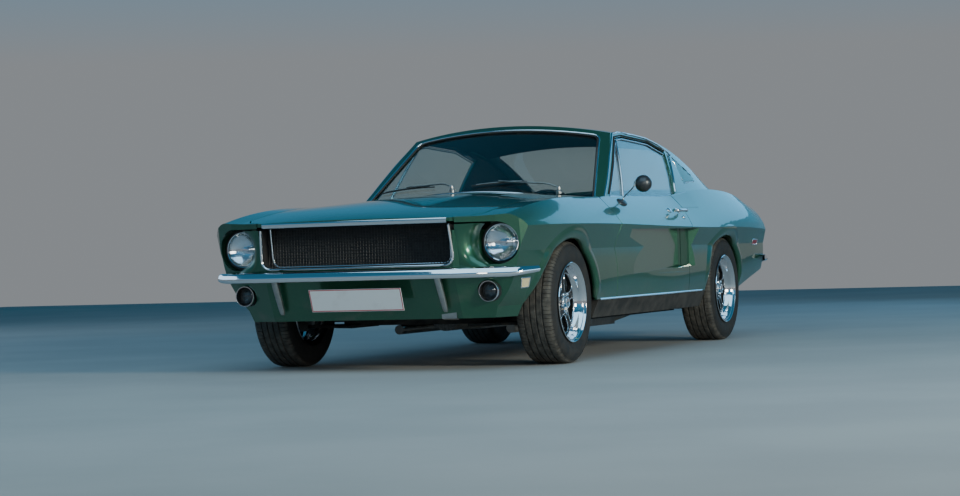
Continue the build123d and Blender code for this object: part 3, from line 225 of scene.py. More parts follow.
def lens_finish(name, colour, other, clear=0.6, haze=0.08):
    """Moulded lens with fine flutes across it."""
    f = Finish(name, transmission_weight=clear, ior=1.49, roughness=0.06)
    flutes = (f.axis(1) * 620.0).maths("SINE")
    cloud = f.noise(25.0, 3.0)
    return f.feed(base_color=f.mix(cloud.fade(0.3, 0.8), colour, other), normal=f.bump(flutes, 0.0006, 0.5),
                  roughness=0.01 + cloud * haze)


def leather_finish(name, colour, other, scale=700.0):
    """Grained vinyl: small cells with creases between them."""
    f = Finish(name, roughness=0.5, specular_ior_level=0.4)
    grain = f.cells(scale, feature="DISTANCE_TO_EDGE")
    folds = f.noise(18.0, 5.0)
    tone = f.mix(folds.fade(0.3, 0.75), colour, other)
    normal = f.bump(grain.fade(0.0, 0.3), 0.0006, 0.5, f.bump(folds, 0.003, 0.15))
    return f.feed(base_color=tone, roughness=0.42 + folds * 0.25, normal=normal)


def tyre_finish(x):
    """Worn road rubber: dusty tread, darker sides with fine rings."""
    f = Finish("tyre_rubber", roughness=0.8, specular_ior_level=0.3)
    away_x, away_z = f.axis(0) - x, f.axis(2) - AXLE_Z
    reach = (away_x * away_x + away_z * away_z) ** 0.5
    dust = f.noise(30.0, 6.0).fade(0.3, 0.75)
    tread = reach.fade(0.296, 0.31)
    side = f.mix(dust * 0.5, (0.018, 0.018, 0.019), (0.05, 0.048, 0.045))
    worn = f.mix(dust, (0.055, 0.052, 0.048), (0.13, 0.12, 0.105))
    rings = (reach * 1500.0).maths("SINE") * (1 - tread)
    return f.feed(base_color=f.mix(tread, side, worn), roughness=0.62 + dust * 0.3,
                  normal=f.bump(rings, 0.0003, 0.4))


def plate_finish():
    """Blank white plate with a thin red line inside its edge."""
    f = Finish("blank_plate", roughness=0.35, coat_weight=0.4)
    across = 0.252 - abs(f.axis(1))
    up = (f.axis(2) - PLATE_Z) * (1 / cos(radians(PLATE_LEAN)))
    inset = across.maths("MINIMUM", 0.059 - abs(up))
    line = (inset > 0.0012) * (inset < 0.0058)
    grime = f.noise(14.0, 5.0).fade(0.5, 0.9) * 0.4
    face = f.mix(grime, (0.78, 0.79, 0.8), (0.5, 0.49, 0.46))
    return f.feed(base_color=f.mix(line, face, (0.50, 0.02, 0.03)), roughness=0.3 + grime)


def floor_finish():
    """Pale concrete with faint patches and grit."""
    f = Finish("pale_floor", roughness=0.75)
    wash = f.noise(0.8, 4.0)
    grit = f.noise(60.0, 4.0)
    tone = f.mix(wash.fade(0.3, 0.7), (0.34, 0.34, 0.34), (0.39, 0.39, 0.385))
    return f.feed(base_color=tone, roughness=0.7 + grit * 0.1, normal=f.bump(grit, 0.0006, 0.1))


# Number plate: height of its middle, and how far it leans back in degrees
PLATE_Z, PLATE_LEAN = 0.366, 20.0

# Finishes
PAINT = paint_finish()
CHROME = chrome_finish()
GLASS = glass_finish()
MIRROR_GLASS = plain_finish("mirror_glass", (0.8, 0.83, 0.85), (0.75, 0.78, 0.8), 0.02, 4.0, 1.0, 0.0)
BLACK = plain_finish("black_trim", (0.012, 0.012, 0.013), (0.022, 0.022, 0.023), 0.45, 40.0)
RUBBER = plain_finish("black_rubber", (0.015, 0.015, 0.015), (0.03, 0.03, 0.03), 0.65, 80.0)
UNDERBODY = plain_finish("underbody", (0.016, 0.016, 0.016), (0.05, 0.046, 0.042), 0.75, 12.0, 0.0, 0.001)
CAST = plain_finish("cast_metal", (0.18, 0.18, 0.18), (0.3, 0.3, 0.29), 0.5, 90.0, 0.8, 0.0008)
STEEL = plain_finish("pipe_steel", (0.3, 0.28, 0.26), (0.42, 0.4, 0.38), 0.38, 16.0, 0.9, 0.0005)
VINYL = leather_finish("black_vinyl", (0.014, 0.014, 0.015), (0.026, 0.026, 0.028))
RED_LENS = lens_finish("red_lens", (0.5, 0.01, 0.01), (0.65, 0.03, 0.02))
AMBER_LENS = lens_finish("amber_lens", (0.80, 0.66, 0.36), (0.86, 0.75, 0.48), 0.1)
LAMP_GLASS = lens_finish("lamp_glass", (0.95, 0.98, 1.0), (0.9, 0.94, 0.97), 1.0, 0.02)
PLATE = plate_finish()
SPOKE_DARK = plain_finish("spoke_grey", (0.010, 0.010, 0.011), (0.022, 0.022, 0.024), 0.34, 70.0, 0.4)
SATIN = plain_finish("satin_silver", (0.34, 0.34, 0.33), (0.46, 0.46, 0.45), 0.27, 30.0, 0.95)
GUNMETAL = plain_finish("satin_gunmetal", (0.055, 0.06, 0.066), (0.085, 0.09, 0.096), 0.3, 60.0, 0.7, 0.0001)
MESH_BLACK = plain_finish("mesh_black", (0.028, 0.028, 0.030), (0.045, 0.045, 0.047), 0.42, 50.0, 0.3)
DIAL = plain_finish("dial_black", (0.012, 0.012, 0.013), (0.016, 0.016, 0.018), 0.3, 200.0)
LINER = plain_finish("headliner", (0.045, 0.045, 0.047), (0.065, 0.065, 0.067), 0.85, 300.0, 0.0, 0.0006)
POLISHED = chrome_finish("polished_rim", 0.2)


class Tree:
    """A Geometry Nodes tree with named inputs that ends in Realize Instances and Set Material."""

    def __init__(self, name, **inputs):
        self.group = bpy.data.node_groups.new(name, "GeometryNodeTree")
        sockets = {"Geometry": "Geometry", **inputs, "Finish": "Material"}
        for key, kind in sockets.items():
            self.group.interface.new_socket(key, in_out="INPUT", socket_type="NodeSocket" + kind)
        self.group.interface.new_socket("Geometry", in_out="OUTPUT", socket_type="NodeSocketGeometry")
        self.given = self.group.nodes.new("NodeGroupInput").outputs

    def node(self, kind, settings=None, inputs=None, out=0):
        made = self.group.nodes.new(kind)
        for key, value in (settings or {}).items():
            setattr(made, key, value)
        for key, value in (inputs or {}).items():
            if isinstance(value, bpy.types.NodeSocket):
                self.group.links.new(value, made.inputs[key])
            else:
                made.inputs[key].default_value = value
        return made.outputs[out]

    def finish(self, geometry):
        real = self.node("GeometryNodeRealizeInstances", {}, {"Geometry": geometry})
        coated = self.node("GeometryNodeSetMaterial", {},
                           {"Geometry": real, "Material": self.given["Finish"]})
        end = self.group.nodes.new("NodeGroupOutput")
        self.group.links.new(coated, end.inputs[0])
        return self


def ring_tree():
    """Copies of the piece turned round an axis through the origin, then moved to a centre."""
    t = Tree("ring_of", Count="Int", Step="Float", Axis="Vector", Centre="Vector")
    points = t.node("GeometryNodeMeshLine", {}, {"Count": t.given["Count"], "Offset": (0, 0, 0)})
    index = t.node("GeometryNodeInputIndex")
    angle = t.node("ShaderNodeMath", {"operation": "MULTIPLY"}, {0: index, 1: t.given["Step"]})
    turn = t.node("FunctionNodeAxisAngleToRotation", {}, {"Axis": t.given["Axis"], "Angle": angle})
    copies = t.node(
        "GeometryNodeInstanceOnPoints", {},
        {"Points": points, "Instance": t.given["Geometry"], "Rotation": turn}
    )
    moved = t.node("GeometryNodeTransform", {}, {"Geometry": copies, "Translation": t.given["Centre"]})
    return t.finish(moved)


def row_tree():
    """Copies of the piece along a line."""
    t = Tree("row_of", Count="Int", Pitch="Vector")
    points = t.node("GeometryNodeMeshLine", {}, {"Count": t.given["Count"], "Offset": t.given["Pitch"]})
    copies = t.node("GeometryNodeInstanceOnPoints", {}, {"Points": points, "Instance": t.given["Geometry"]})
    return t.finish(copies)


def strip_tree():
    """An oval bead along a path; the path's attribute "out" is the side that it faces."""
    t = Tree("bead_along", Width="Float", Height="Float")
    path = t.node("GeometryNodeMeshToCurve", {}, {"Mesh": t.given["Geometry"]})
    out = t.node("GeometryNodeInputNamedAttribute", {"data_type": "FLOAT_VECTOR"}, {"Name": "out"})
    faced = t.node("GeometryNodeSetCurveNormal", {"mode": "FREE"}, {"Curve": path, "Normal": out})
    circle = t.node("GeometryNodeCurvePrimitiveCircle", {}, {"Resolution": 14, "Radius": 0.5})
    size = t.node("ShaderNodeCombineXYZ", {}, {0: t.given["Width"], 1: t.given["Height"], 2: 1.0})
    oval = t.node("GeometryNodeTransform", {}, {"Geometry": circle, "Scale": size})
    bead = t.node("GeometryNodeCurveToMesh", {}, {"Curve": faced, "Profile Curve": oval, "Fill Caps": True})
    return t.finish(bead)


RING_OF, ROW_OF, BEAD_ALONG = ring_tree(), row_tree(), strip_tree()


def smooth(mesh, angle=35):
    """Shades a mesh smooth, apart from edges sharper than an angle."""
    for face in mesh.polygons:
        face.use_smooth = True
    mesh.set_sharp_from_angle(angle=radians(angle))
    return mesh


def grown(tree, mesh, finish, **values):
    """The plain mesh that a tree makes from a mesh."""
    carrier = bpy.data.objects.new("carrier", mesh)
    bpy.context.scene.collection.objects.link(carrier)
    modifier = carrier.modifiers.new("grow", "NODES")
    modifier.node_group = tree.group
    for socket in tree.group.interface.items_tree:
        if socket.in_out == "INPUT" and socket.name in values:
            modifier[socket.identifier] = values[socket.name]
        if socket.name == "Finish":
            modifier[socket.identifier] = finish
    graph = bpy.context.evaluated_depsgraph_get()
    made = bpy.data.meshes.new_from_object(carrier.evaluated_get(graph))
    bpy.data.objects.remove(carrier)
    return made


def add(name, mesh, finish, body, replaces=(), angle=35):
    """Puts a finished mesh in the scene as a piece that rides on a body."""
    mesh.name = name
    mesh.materials.clear()
    mesh.materials.append(finish)
    made = bpy.data.objects.new(name, smooth(mesh, angle))
    bpy.context.scene.collection.objects.link(made)
    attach(made, body)
    if replaces:
        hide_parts(*replaces)
    return made


def mesh_of(vertices, faces):
    """A checked mesh from vertices and faces."""
    mesh = bpy.data.meshes.new("made")
    mesh.from_pydata([tuple(v) for v in vertices], [], faces)
    mesh.validate()
    return mesh


def tidy(mesh):
    """Merges doubles and turns the faces outwards."""
    work = bmesh.new()
    work.from_mesh(mesh)
    bmesh.ops.remove_doubles(work, verts=work.verts, dist=1e-5)
    bmesh.ops.recalc_face_normals(work, faces=work.faces)
    work.to_mesh(mesh)
    work.free()
    return mesh


def gathered(meshes):
    """The vertices and faces of several meshes, numbered in one run."""
    vertices, faces = [], []
    for mesh in meshes:
        first = len(vertices)
        vertices += [v.co.copy() for v in mesh.vertices]
        faces += [[first + i for i in face.vertices] for face in mesh.polygons]
    return vertices, faces


def joined(*meshes):
    """One mesh from several."""
    return mesh_of(*gathered(meshes))


def sheet_of(rows, round_trip=False):
    """Quads between rows of points; round_trip closes each row."""
    width = len(rows[0])
    vertices = [p for row in rows for p in row]
    faces = []
    for i in range(len(rows) - 1):
        low, high = i * width, (i + 1) * width
        for j in range(width if round_trip else width - 1):
            k = (j + 1) % width
            faces.append((low + j, low + k, high + k, high + j))
    return mesh_of(vertices, faces)


def skinned(rows):
    """A closed form through closed rows of points, with both ends filled."""
    vertices, faces = gathered([sheet_of(rows, round_trip=True)])
    width, count = len(rows[0]), len(vertices)
    ends = [tuple(range(width)), tuple(range(count - width, count))]
    return tidy(mesh_of(vertices, faces + ends))


def turned_to(sheet, way):
    """The sheet, turned over where it faces away from a direction."""
    if sum(face.normal.dot(Vector(way)) for face in sheet.polygons) < 0:
        sheet.flip_normals()
    return sheet


def lathe(profile, centre, axis, steps=64):
    """Spins points (radius, distance along the axis); they close on themselves or on the axis."""
    axis = Vector(axis).normalized()
    side = axis.orthogonal().normalized()
    other = axis.cross(side)
    rows = []
    for radius, along in profile:
        ring = [side * cos(a) + other * sin(a) for a in (tau * i / steps for i in range(steps))]
        rows.append([Vector(centre) + axis * along + spoke * radius for spoke in ring])
    return tidy(sheet_of(rows, round_trip=True))


def path_mesh(points, outs, closed=False):
    """A line of edges that carries the direction each point faces."""
    mesh = bpy.data.meshes.new("path")
    edges = [(i, i + 1) for i in range(len(points) - 1)] + ([(len(points) - 1, 0)] if closed else [])
    mesh.from_pydata([tuple(p) for p in points], edges, [])
    facing = mesh.attributes.new("out", "FLOAT_VECTOR", "POINT")
    for i, out in enumerate(outs):
        facing.data[i].vector = out
    return mesh


def bead(points, outs, width, height, finish, closed=False):
    """An oval strip of metal or rubber along a path."""
    mesh = grown(BEAD_ALONG, path_mesh(points, outs, closed), finish, Width=width, Height=height)
    return tidy(mesh)


def rounded(points, radius, steps=6):
    """A flat closed outline with rounded corners; a corner's third number is a radius of its own."""
    line = []
    count = len(points)
    for i, corner in enumerate(points):
        here = Vector(corner[:2])
        before, after = Vector(points[i - 1][:2]) - here, Vector(points[(i + 1) % count][:2]) - here
        reach = corner[2] if len(corner) > 2 else radius
        start, end = here + before.normalized() * reach, here + after.normalized() * reach
        for step in range(steps + 1):
            t = step / steps
            line.append(start * (1 - t) ** 2 + here * 2 * t * (1 - t) + end * t * t)
    return line


def divided(points, gap):
    """Points along straight runs, no further apart than a gap."""
    line = []
    for a, b in zip(points, points[1:]):
        parts = max(1, int((Vector(b) - Vector(a)).length / gap))
        line += [Vector(a).lerp(Vector(b), i / parts) for i in range(parts)]
    return line + [Vector(points[-1])]


def surface_of(*names):
    """The joined surface of some nodes, to lay trim on."""
    return BVHTree.FromPolygons(*gathered(nodes[name].data for name in names))


def laid(surface, points, direction, lift=0.0):
    """Points dropped along a direction onto a surface, with the way it faces there."""
    places, outs = [], []
    for point in points:
        place, normal, _, _ = surface.ray_cast(Vector(point) - Vector(direction) * 3, Vector(direction))
        if place is None:
            continue
        if normal.dot(Vector(direction)) > 0:
            normal = -normal
        places.append(place + normal * lift)
        outs.append(normal)
    return places, outs


def dropped(surface, points, gap=0.05, lift=0.0):
    """A line drawn in the side view (x, z), divided and laid on a surface from the left."""
    return laid(surface, divided([(x, BESIDE_Y, z) for x, z in points], gap), INWARD, lift)


# Windscreen surface, as the model has it
SCREEN_X, SCREEN_Z, SCREEN_SLOPE, SCREEN_R = 0.790, 0.902, radians(33), 2.25
SCREEN_UP = Vector((-cos(SCREEN_SLOPE), 0, sin(SCREEN_SLOPE)))
SCREEN_OUT = Vector((sin(SCREEN_SLOPE), 0, cos(SCREEN_SLOPE)))


def on_screen(y, run):
    """A point on the windscreen, a distance across the car and up the slope, and the way it faces."""
    turn = asin(y / SCREEN_R)
    out = SCREEN_OUT * cos(turn) + Vector((0, sin(turn), 0))
    return Vector((SCREEN_X, 0, SCREEN_Z)) + SCREEN_UP * run + (out - SCREEN_OUT) * SCREEN_R, out


def mirrored(points):
    """Points or directions on the car's other side."""
    return [Vector((p[0], -p[1], p[2])) for p in points]


def twin(mesh):
    """The same piece on the car's other side."""
    other = joined(mesh)
    for vertex in other.vertices:
        vertex.co.y = -vertex.co.y
    other.flip_normals()
    return other


def pair(name, mesh, finish, body, angle=35):
    """A piece on the left and its twin on the right; a body name may hold {side}."""
    other = twin(mesh)
    for side, each in (("left", mesh), ("right", other)):
        add(f"{name}_{side}", each, finish, body.format(side=side), (), angle)


def both_sides(name, points, outs, width, height, finish, body, slot):
    """A bead on the left and its twin on the right; a body name may hold {side}."""
    for side, sign in SIDES:
        line, facing = (points, outs) if sign > 0 else (mirrored(points), mirrored(outs))
        mesh = bead(line, facing, width, height, finish)
        add(f"{name}_{side}", mesh, finish, body.format(side=side))


def screen_trim():
    """Bright frame and black seal round the windscreen."""
    corners = [(-0.704, 0.022), (0.704, 0.022), (0.558, 0.702)]
    head = [(0.558 - 1.116 * i / 12, 0.702 - 0.018 * (1 - (1 - i / 6) ** 2)) for i in range(1, 12)]
    outline = [(x, y, 0.045) for x, y in corners] + [(x, y, 0.001) for x, y in head]
    outline.append((-0.558, 0.702, 0.045))
    line = rounded(outline, 0.045)
    line = divided([tuple(p) for p in line] + [tuple(line[0])], 0.04)[:-1]
    for name, shift, width, height, finish, slot in (
        ("screen_frame", 0.0, 0.017, 0.011, CHROME, "chrome"),
        ("screen_seal", -0.011, 0.010, 0.008, RUBBER, "black_trim"),
    ):
        places = [on_screen(p[0] * (1 + shift / 0.65), p[1] + shift * (0.35 - p[1]) / -0.35) for p in line]
        outs = [out for _, out in places]
        strip = bead([p + out * 0.001 for p, out in places], outs, width, height, finish, closed=True)
        add(name, strip, finish, "root")


def side_trim():
    """Drip rail, window seal, strips of pillar and rocker, and the vent behind the door glass."""
    skin = surface_of("roof", "quarter_left", "door_left", "front_wing_left")
    rail = [(0.604, 0.872), (0.500, 0.945), (0.290, 1.105), (0.092, 1.239), (-0.040, 1.250),
            (-0.300, 1.240), (-0.510, 1.228), (-0.700, 1.200), (-0.870, 1.158), (-0.905, 1.140)]
    both_sides("drip_rail", *dropped(skin, rail), 0.013, 0.012, CHROME, "root", "chrome")
    seal = [(0.517, 0.888), (0.084, 1.2210), (-0.040, 1.2330), (-0.500, 1.2130), (-0.790, 1.1600)]
    both_sides("window_seal", *dropped(skin, seal), 0.014, 0.009, RUBBER, "root", "black_trim")
    post = [(-0.711, 0.910), (-0.722, 0.935), (-0.858, 1.143)]
    both_sides("pillar_strip", *dropped(skin, post), 0.016, 0.010, CHROME, "root", "chrome")
    strip, facing = dropped(skin, [(1.120, 0.334), (-0.820, 0.334)], 0.1)
    strip = [Vector((p.x, p.y, 0.319)) for p in strip]
    both_sides("rocker_strip", strip, facing, 0.020, 0.014, CHROME, "root", "chrome")
    vent = rounded([(-0.915, 1.132), (-1.225, 1.018), (-1.236, 0.982), (-0.962, 0.968)], 0.018, 4)
    vent = [tuple(p) for p in vent]
    both_sides("vent_frame", *dropped(skin, vent + vent[:1], 0.03), 0.009, 0.006, CHROME, "root", "chrome")
    vent_slats(skin)


def vent_slats(skin):
    """Four painted slats in the vent, each standing out at its rear edge."""
    slats = []
    for i in range(4):
        rows = []
        for j in range(9):
            corners = []
            for t in (i / 4 + 0.02, i / 4 + 0.24):
                top = Vector((-0.926, 1.120)).lerp(Vector((-1.222, 1.010)), t)
                low = Vector((-0.966, 0.975)).lerp(Vector((-1.228, 0.986)), t)
                corners.append(top.lerp(low, j / 8))
            places, outs = dropped(skin, [tuple(c) for c in corners], 1.0)
            front, rear, front_out, rear_out = places[0], places[-1], outs[0], outs[-1]
            rows.append([front - front_out * 0.003, front + front_out * 0.0015,
                         rear + rear_out * 0.008, rear - rear_out * 0.003])
        slats.append(skinned(rows))
    pair("vent_slats", joined(*slats), PAINT, "root")


def door_glass_trim():
    """Bright frame, vent divider and sill of the door glass."""
    glass = surface_of("door_window_left")
    edge = [(0.500, 0.876), (0.064, 1.200), (-0.040, 1.211), (-0.497, 1.191), (-0.776, 1.139)]
    for name, line, gap, width, height in (
        ("glass_frame", edge, 0.05, 0.010, 0.008),
        ("vent_divider", [(0.279, 0.872), (0.066, 1.196)], 0.05, 0.016, 0.012),
        ("glass_sill", [(0.488, 0.873), (-0.672, 0.873)], 0.1, 0.010, 0.010),
    ):
        path = dropped(glass, line, gap, lift=0.001)
        both_sides(name, *path, width, height, CHROME, "door_{side}_body", "chrome")


# Height at which each bright frame of the grille ends, under the hood's lip
GRILLE_TOP = {"mouth_frame": 0.737, "mesh_frame": 0.732}


def nose_trim():
    """Bright lip of the hood, and the frames of the grille's mouth and of its mesh."""
    lip = surface_of("hood", "front_wing_left", "front_wing_right")
    line = [(AHEAD_X, -0.506 + 0.0506 * i, 0.757) for i in range(21)]
    points, outs = laid(lip, line, BACKWARDS)
    points = [Vector((p.x - 0.001, p.y, 0.7495)) for p in points]
    add("hood_lip", bead(points, outs, 0.013, 0.026, CHROME), CHROME, "hood_body")
    for name, half, foot_half, top, foot, corner, ahead, width, height in (
        ("mouth_frame", 0.515, 0.529, 0.739, 0.528, 0.06, 0.003, 0.020, 0.014),
        ("mesh_frame", 0.492, 0.492, 0.733, 0.539, 0.05, -0.059, 0.009, 0.010),
    ):
        corners = [(-half, top, 0.001), (-foot_half, foot, corner), (foot_half, foot, corner),
                   (half, top, 0.001)]
        line = divided([tuple(p) for p in rounded(corners, 0.05, 8)[:-4]], 0.012)
        points = [Vector((nose_x(y, z) + ahead, y, z)) for y, z in line if z < GRILLE_TOP[name]]
        frame_bead = bead(points, [FORWARDS] * len(points), width, height, CHROME)
        add(name, frame_bead, CHROME, "root")


def nose_x(y, z):
    """How far forwards the nose reaches."""
    bow = 2.300 - 0.010 * (y / 0.520) ** 2 if abs(y) < 0.52 else 2.290 - (abs(y) - 0.52) * 0.085 / 0.208
    return bow + (z - 0.640) * 0.15


# Grille mesh: reach across the car, foot, top and place, pitch of the wires, and the recess behind
MESH_HALF_Y, MESH_LOW_Z, MESH_HIGH_Z, MESH_X = 0.512, 0.536, 0.728, 2.224
MESH_PITCH = 0.0160
RECESS_DEEP, RECESS_BACK_X = 0.095, 2.208


def grille_mesh():
    """Black mesh of thin crossed wires, the walls of the recess and a dark back."""
    wire = [(0.0, -0.0017), (0.0020, 0.0), (0.0, 0.0017), (-0.0020, 0.0)]

    def rod(start, end, side):
        side, deep = Vector(side), Vector(FORWARDS)
        rows = [[Vector(p) + side * b + deep * a for a, b in wire] for p in (start, end)]
        return tidy(sheet_of(rows, round_trip=True))

    columns = int(2 * MESH_HALF_Y / MESH_PITCH)
    rows = int((MESH_HIGH_Z - MESH_LOW_Z) / MESH_PITCH)
    upright = rod((MESH_X, -MESH_HALF_Y, MESH_LOW_Z), (MESH_X, -MESH_HALF_Y, MESH_HIGH_Z), (0, 1, 0))
    level = rod((MESH_X + 0.002, -MESH_HALF_Y, MESH_LOW_Z), (MESH_X + 0.002, MESH_HALF_Y, MESH_LOW_Z),
                (0, 0, 1))
    uprights = grown(ROW_OF, upright, BLACK, Count=columns + 1, Pitch=(0, MESH_PITCH, 0))
    levels = grown(ROW_OF, level, BLACK, Count=rows + 1, Pitch=(0, 0, MESH_PITCH))
    mouth = rounded([(-0.522, 0.530, 0.06), (0.522, 0.530, 0.06), (0.522, 0.733, 0.012),
                     (-0.522, 0.733, 0.012)], 0.05, 6)
    walls = sheet_of([[Vector((nose_x(y, z) - d, y, z)) for y, z in mouth] for d in (0.0, RECESS_DEEP)],
                     round_trip=True)
    back = mesh_of([(RECESS_BACK_X, y, z) for y, z in mouth], [tuple(range(len(mouth)))])
    shell = joined(walls, back)
    for face in shell.polygons:
        face.flip()
    add("grille_mesh", joined(uprights, levels, shell), MESH_BLACK, "root", ("grille",),
        angle=20)


# Middles of the left headlamp and the left fog lamp
LAMP_X, LAMP_Y, LAMP_Z = 2.0923, 0.717, 0.634
FOG_X, FOG_Y, FOG_Z = 2.188, 0.673, 0.395


def lamps():
    """Headlamps and recessed fog lamps: bright ring, bowl behind, fluted lens in front; a black ring round
    each headlamp is painted shade of the gap there, and a black tube lines each fog lamp.
    """
    ring = [(0.0860, 0.020), (0.0875, 0.0255), (0.0905, 0.0265), (0.0930, 0.0230), (0.0935, 0.004),
            (0.0900, -0.002), (0.0880, -0.002), (0.0860, 0.004)]
    # Black ring round the headlamp's bright ring: painted shade of the gap there
    bucket = [(0.0935, 0.012), (0.0950, 0.017), (0.1020, 0.019), (0.1070, 0.015), (0.1080, -0.002),
              (0.0935, -0.002)]
    bowl = [(0.0, -0.012), (0.018, -0.012), (0.034, -0.010), (0.060, 0.000), (0.0855, 0.0195),
            (0.0855, 0.0155), (0.060, -0.004), (0.034, -0.014), (0.0, -0.016)]
    dome = [(0.0, 0.043), (0.025, 0.0418), (0.050, 0.0378), (0.070, 0.031), (0.082, 0.0245), (0.086, 0.020)]
    lens = dome + [(r, d - 0.004) for r, d in reversed(dome[:-1])] + [dome[0]]
    fog_ring = [(0.0475, 0.008), (0.0485, 0.0125), (0.0510, 0.0125), (0.0525, 0.008), (0.0525, 0.000),
                (0.0475, 0.000)]
    fog_tube = [(0.0475, 0.006), (0.0520, 0.003), (0.0520, -0.034), (0.0340, -0.034), (0.0340, -0.028),
                (0.0440, -0.026)]
    fog_dome = [(0.0, -0.014), (0.016, -0.0155), (0.027, -0.0195), (0.034, -0.026)]
    fog_lens = fog_dome + [(r, d - 0.003) for r, d in reversed(fog_dome[:-1])] + [fog_dome[0]]
    fog_bowl = [(0.0, -0.036), (0.020, -0.035), (0.033, -0.0295), (0.033, -0.034), (0.020, -0.038),
                (0.0, -0.039)]
    bulb = [(0.0, 0.014), (0.013, 0.012), (0.017, 0.005), (0.016, -0.008), (0.0, -0.0115)]
    for side, sign in SIDES:
        head, fog = (LAMP_X, sign * LAMP_Y, LAMP_Z), (FOG_X, sign * FOG_Y, FOG_Z)
        rings = joined(lathe(ring + ring[:1], head, FORWARDS, 72),
                       lathe(fog_ring + fog_ring[:1], fog, FORWARDS, 56))
        add(f"lamp_rings_{side}", rings, CHROME, "root", ("front_lamps",) if sign > 0 else ())
        # Black headlamp rings, painted shade of the gaps, joined with the fog lamps' black tubes
        dark = joined(lathe(bucket + bucket[:1], head, FORWARDS, 72),
                      lathe(fog_tube + fog_tube[:1], fog, FORWARDS, 48))
        add(f"lamp_gap_shade_and_fog_tube_{side}", dark, BLACK, "root")
        bowls = joined(lathe(bowl, head, FORWARDS, 56), lathe(bulb, head, FORWARDS, 24))
        add(f"lamp_bowl_{side}", bowls, POLISHED, "root")
        add(f"fog_bowl_{side}", lathe(fog_bowl, fog, FORWARDS, 40), GUNMETAL, "root")
        glasses = joined(lathe(lens, head, FORWARDS, 72), lathe(fog_lens, fog, FORWARDS, 48))
        add(f"lamp_lenses_{side}", glasses, LAMP_GLASS, "root")


def lamp_cheeks():
    """Convex painted cheek between the grille's frame and the black ring of painted shade round each
    headlamp.
    """
    rows = []
    for i in range(13):
        z = 0.516 + 0.212 * i / 12
        off = min(0.107, abs(z - LAMP_Z))
        end_y = LAMP_Y - (0.1085 ** 2 - off ** 2) ** 0.5
        end_x = 2.150 + 0.045 * min(1.0, abs(z - LAMP_Z) / 0.10) ** 2
        row = []
        for j in range(11):
            t = j / 10
            swing = t * tau / 4
            x = end_x + (nose_x(0.54, z) - 0.004 - end_x) * cos(swing) ** 0.8
            y = 0.538 + (end_y - 0.538) * sin(swing) ** 1.15
            row.append(Vector((x, y, z)))
        rows.append(row)
    sheet = turned_to(tidy(sheet_of(rows)), FORWARDS)
    cheek = through(sheet, ("SOLIDIFY", {"thickness": 0.003, "offset": -1.0}))
    pair("lamp_cheek", joined(cheek), PAINT, "root", angle=60)


# Tyre section: (radius, distance outboard of the middle)
TYRE_SIDE = [
    (0.1935, 0.067), (0.1935, 0.088), (0.199, 0.0925), (0.206, 0.0935), (0.214, 0.0955), (0.228, 0.1000),
    (0.246, 0.1032), (0.262, 0.1040), (0.276, 0.1030), (0.288, 0.0995), (0.297, 0.0940), (0.303, 0.0875),
    (0.306, 0.0800),
]
# Half the width of a groove in the tread, and how many blocks go round
GROOVE_HALF = 0.0038
TREAD_PITCHES = 92


def tread_block(inner, outer, low, crown, lean=0.0, wrap=False):
    """One tread block across part of the width, a pitch long less its cut."""
    half = tau / TREAD_PITCHES / 2 * (0.88 if wrap else 0.95)
    rows = []
    outline = [(low, inner), (crown - 0.001, inner), (crown, inner + 0.0015)]
    if wrap:
        outline += [(crown, 0.074), (crown - 0.0035, 0.0865), (crown - 0.011, 0.0945),
                    (crown - 0.021, 0.0995), (crown - 0.024, 0.097), (low, 0.075)]
    else:
        outline += [(crown, outer - 0.0015), (crown - 0.001, outer), (low, outer)]
    for step in (-1.0, 1.0):
        angle = step * half
        turns = [(r, w, angle + lean * w) for r, w in outline]
        rows.append([Vector((sin(turn) * r, w, cos(turn) * r)) for r, w, turn in turns])
    return skinned(rows)


def tyre_meshes():
    """Carcass and tread of a tyre about the origin, on the Y axis, outboard towards +Y."""
    low = 0.3065
    tread = [(low, w) for w in (0.075, 0.04, 0.0, -0.04, -0.075)]
    profile = TYRE_SIDE + tread[1:-1] + [(r, -w) for r, w in reversed(TYRE_SIDE)]
    inside = [(0.200, -0.066), (0.288, -0.086), (0.299, -0.05), (0.299, 0.05), (0.288, 0.086), (0.200, 0.066)]
    carcass = lathe(profile + inside + profile[:1], (0, 0, 0), (0, 1, 0), 96)
    edges = (-0.050, -0.0167, 0.0167, 0.050)
    slices = [
        tread_block(start + GROOVE_HALF, end - GROOVE_HALF, low - 0.002, TYRE_R - 0.0002, lean)
        for start, end, lean in zip(edges, edges[1:], (-0.6, 0.5, -0.6))
    ]
    shoulder = tread_block(0.050 + GROOVE_HALF, 0, low - 0.004, TYRE_R - 0.001, wrap=True)
    slices += [shoulder, tidy(twin(shoulder))]
    return carcass, joined(*slices)


def tyres():
    """Four tyres with their tread, each on its wheel's body."""
    carcass, pitch = tyre_meshes()
    for end, x in ENDS:
        rubber = tyre_finish(x)
        for side, sign in SIDES:
            centre = Vector((x, sign * WHEEL_Y, AXLE_Z))
            tread = grown(RING_OF, pitch.copy(), rubber, Count=TREAD_PITCHES, Step=tau / TREAD_PITCHES,
                          Axis=(0, 1, 0))
            whole = joined(carcass, tread)
            for vertex in whole.vertices:
                vertex.co = Vector((vertex.co.x, vertex.co.y * sign, vertex.co.z)) + centre
            if sign < 0:
                whole.flip_normals()
            add(f"road_tyre_{end}_{side}", whole, rubber, f"wheel_{end}_{side}_body",
                (f"tyre_{end}_{side}",), angle=30)


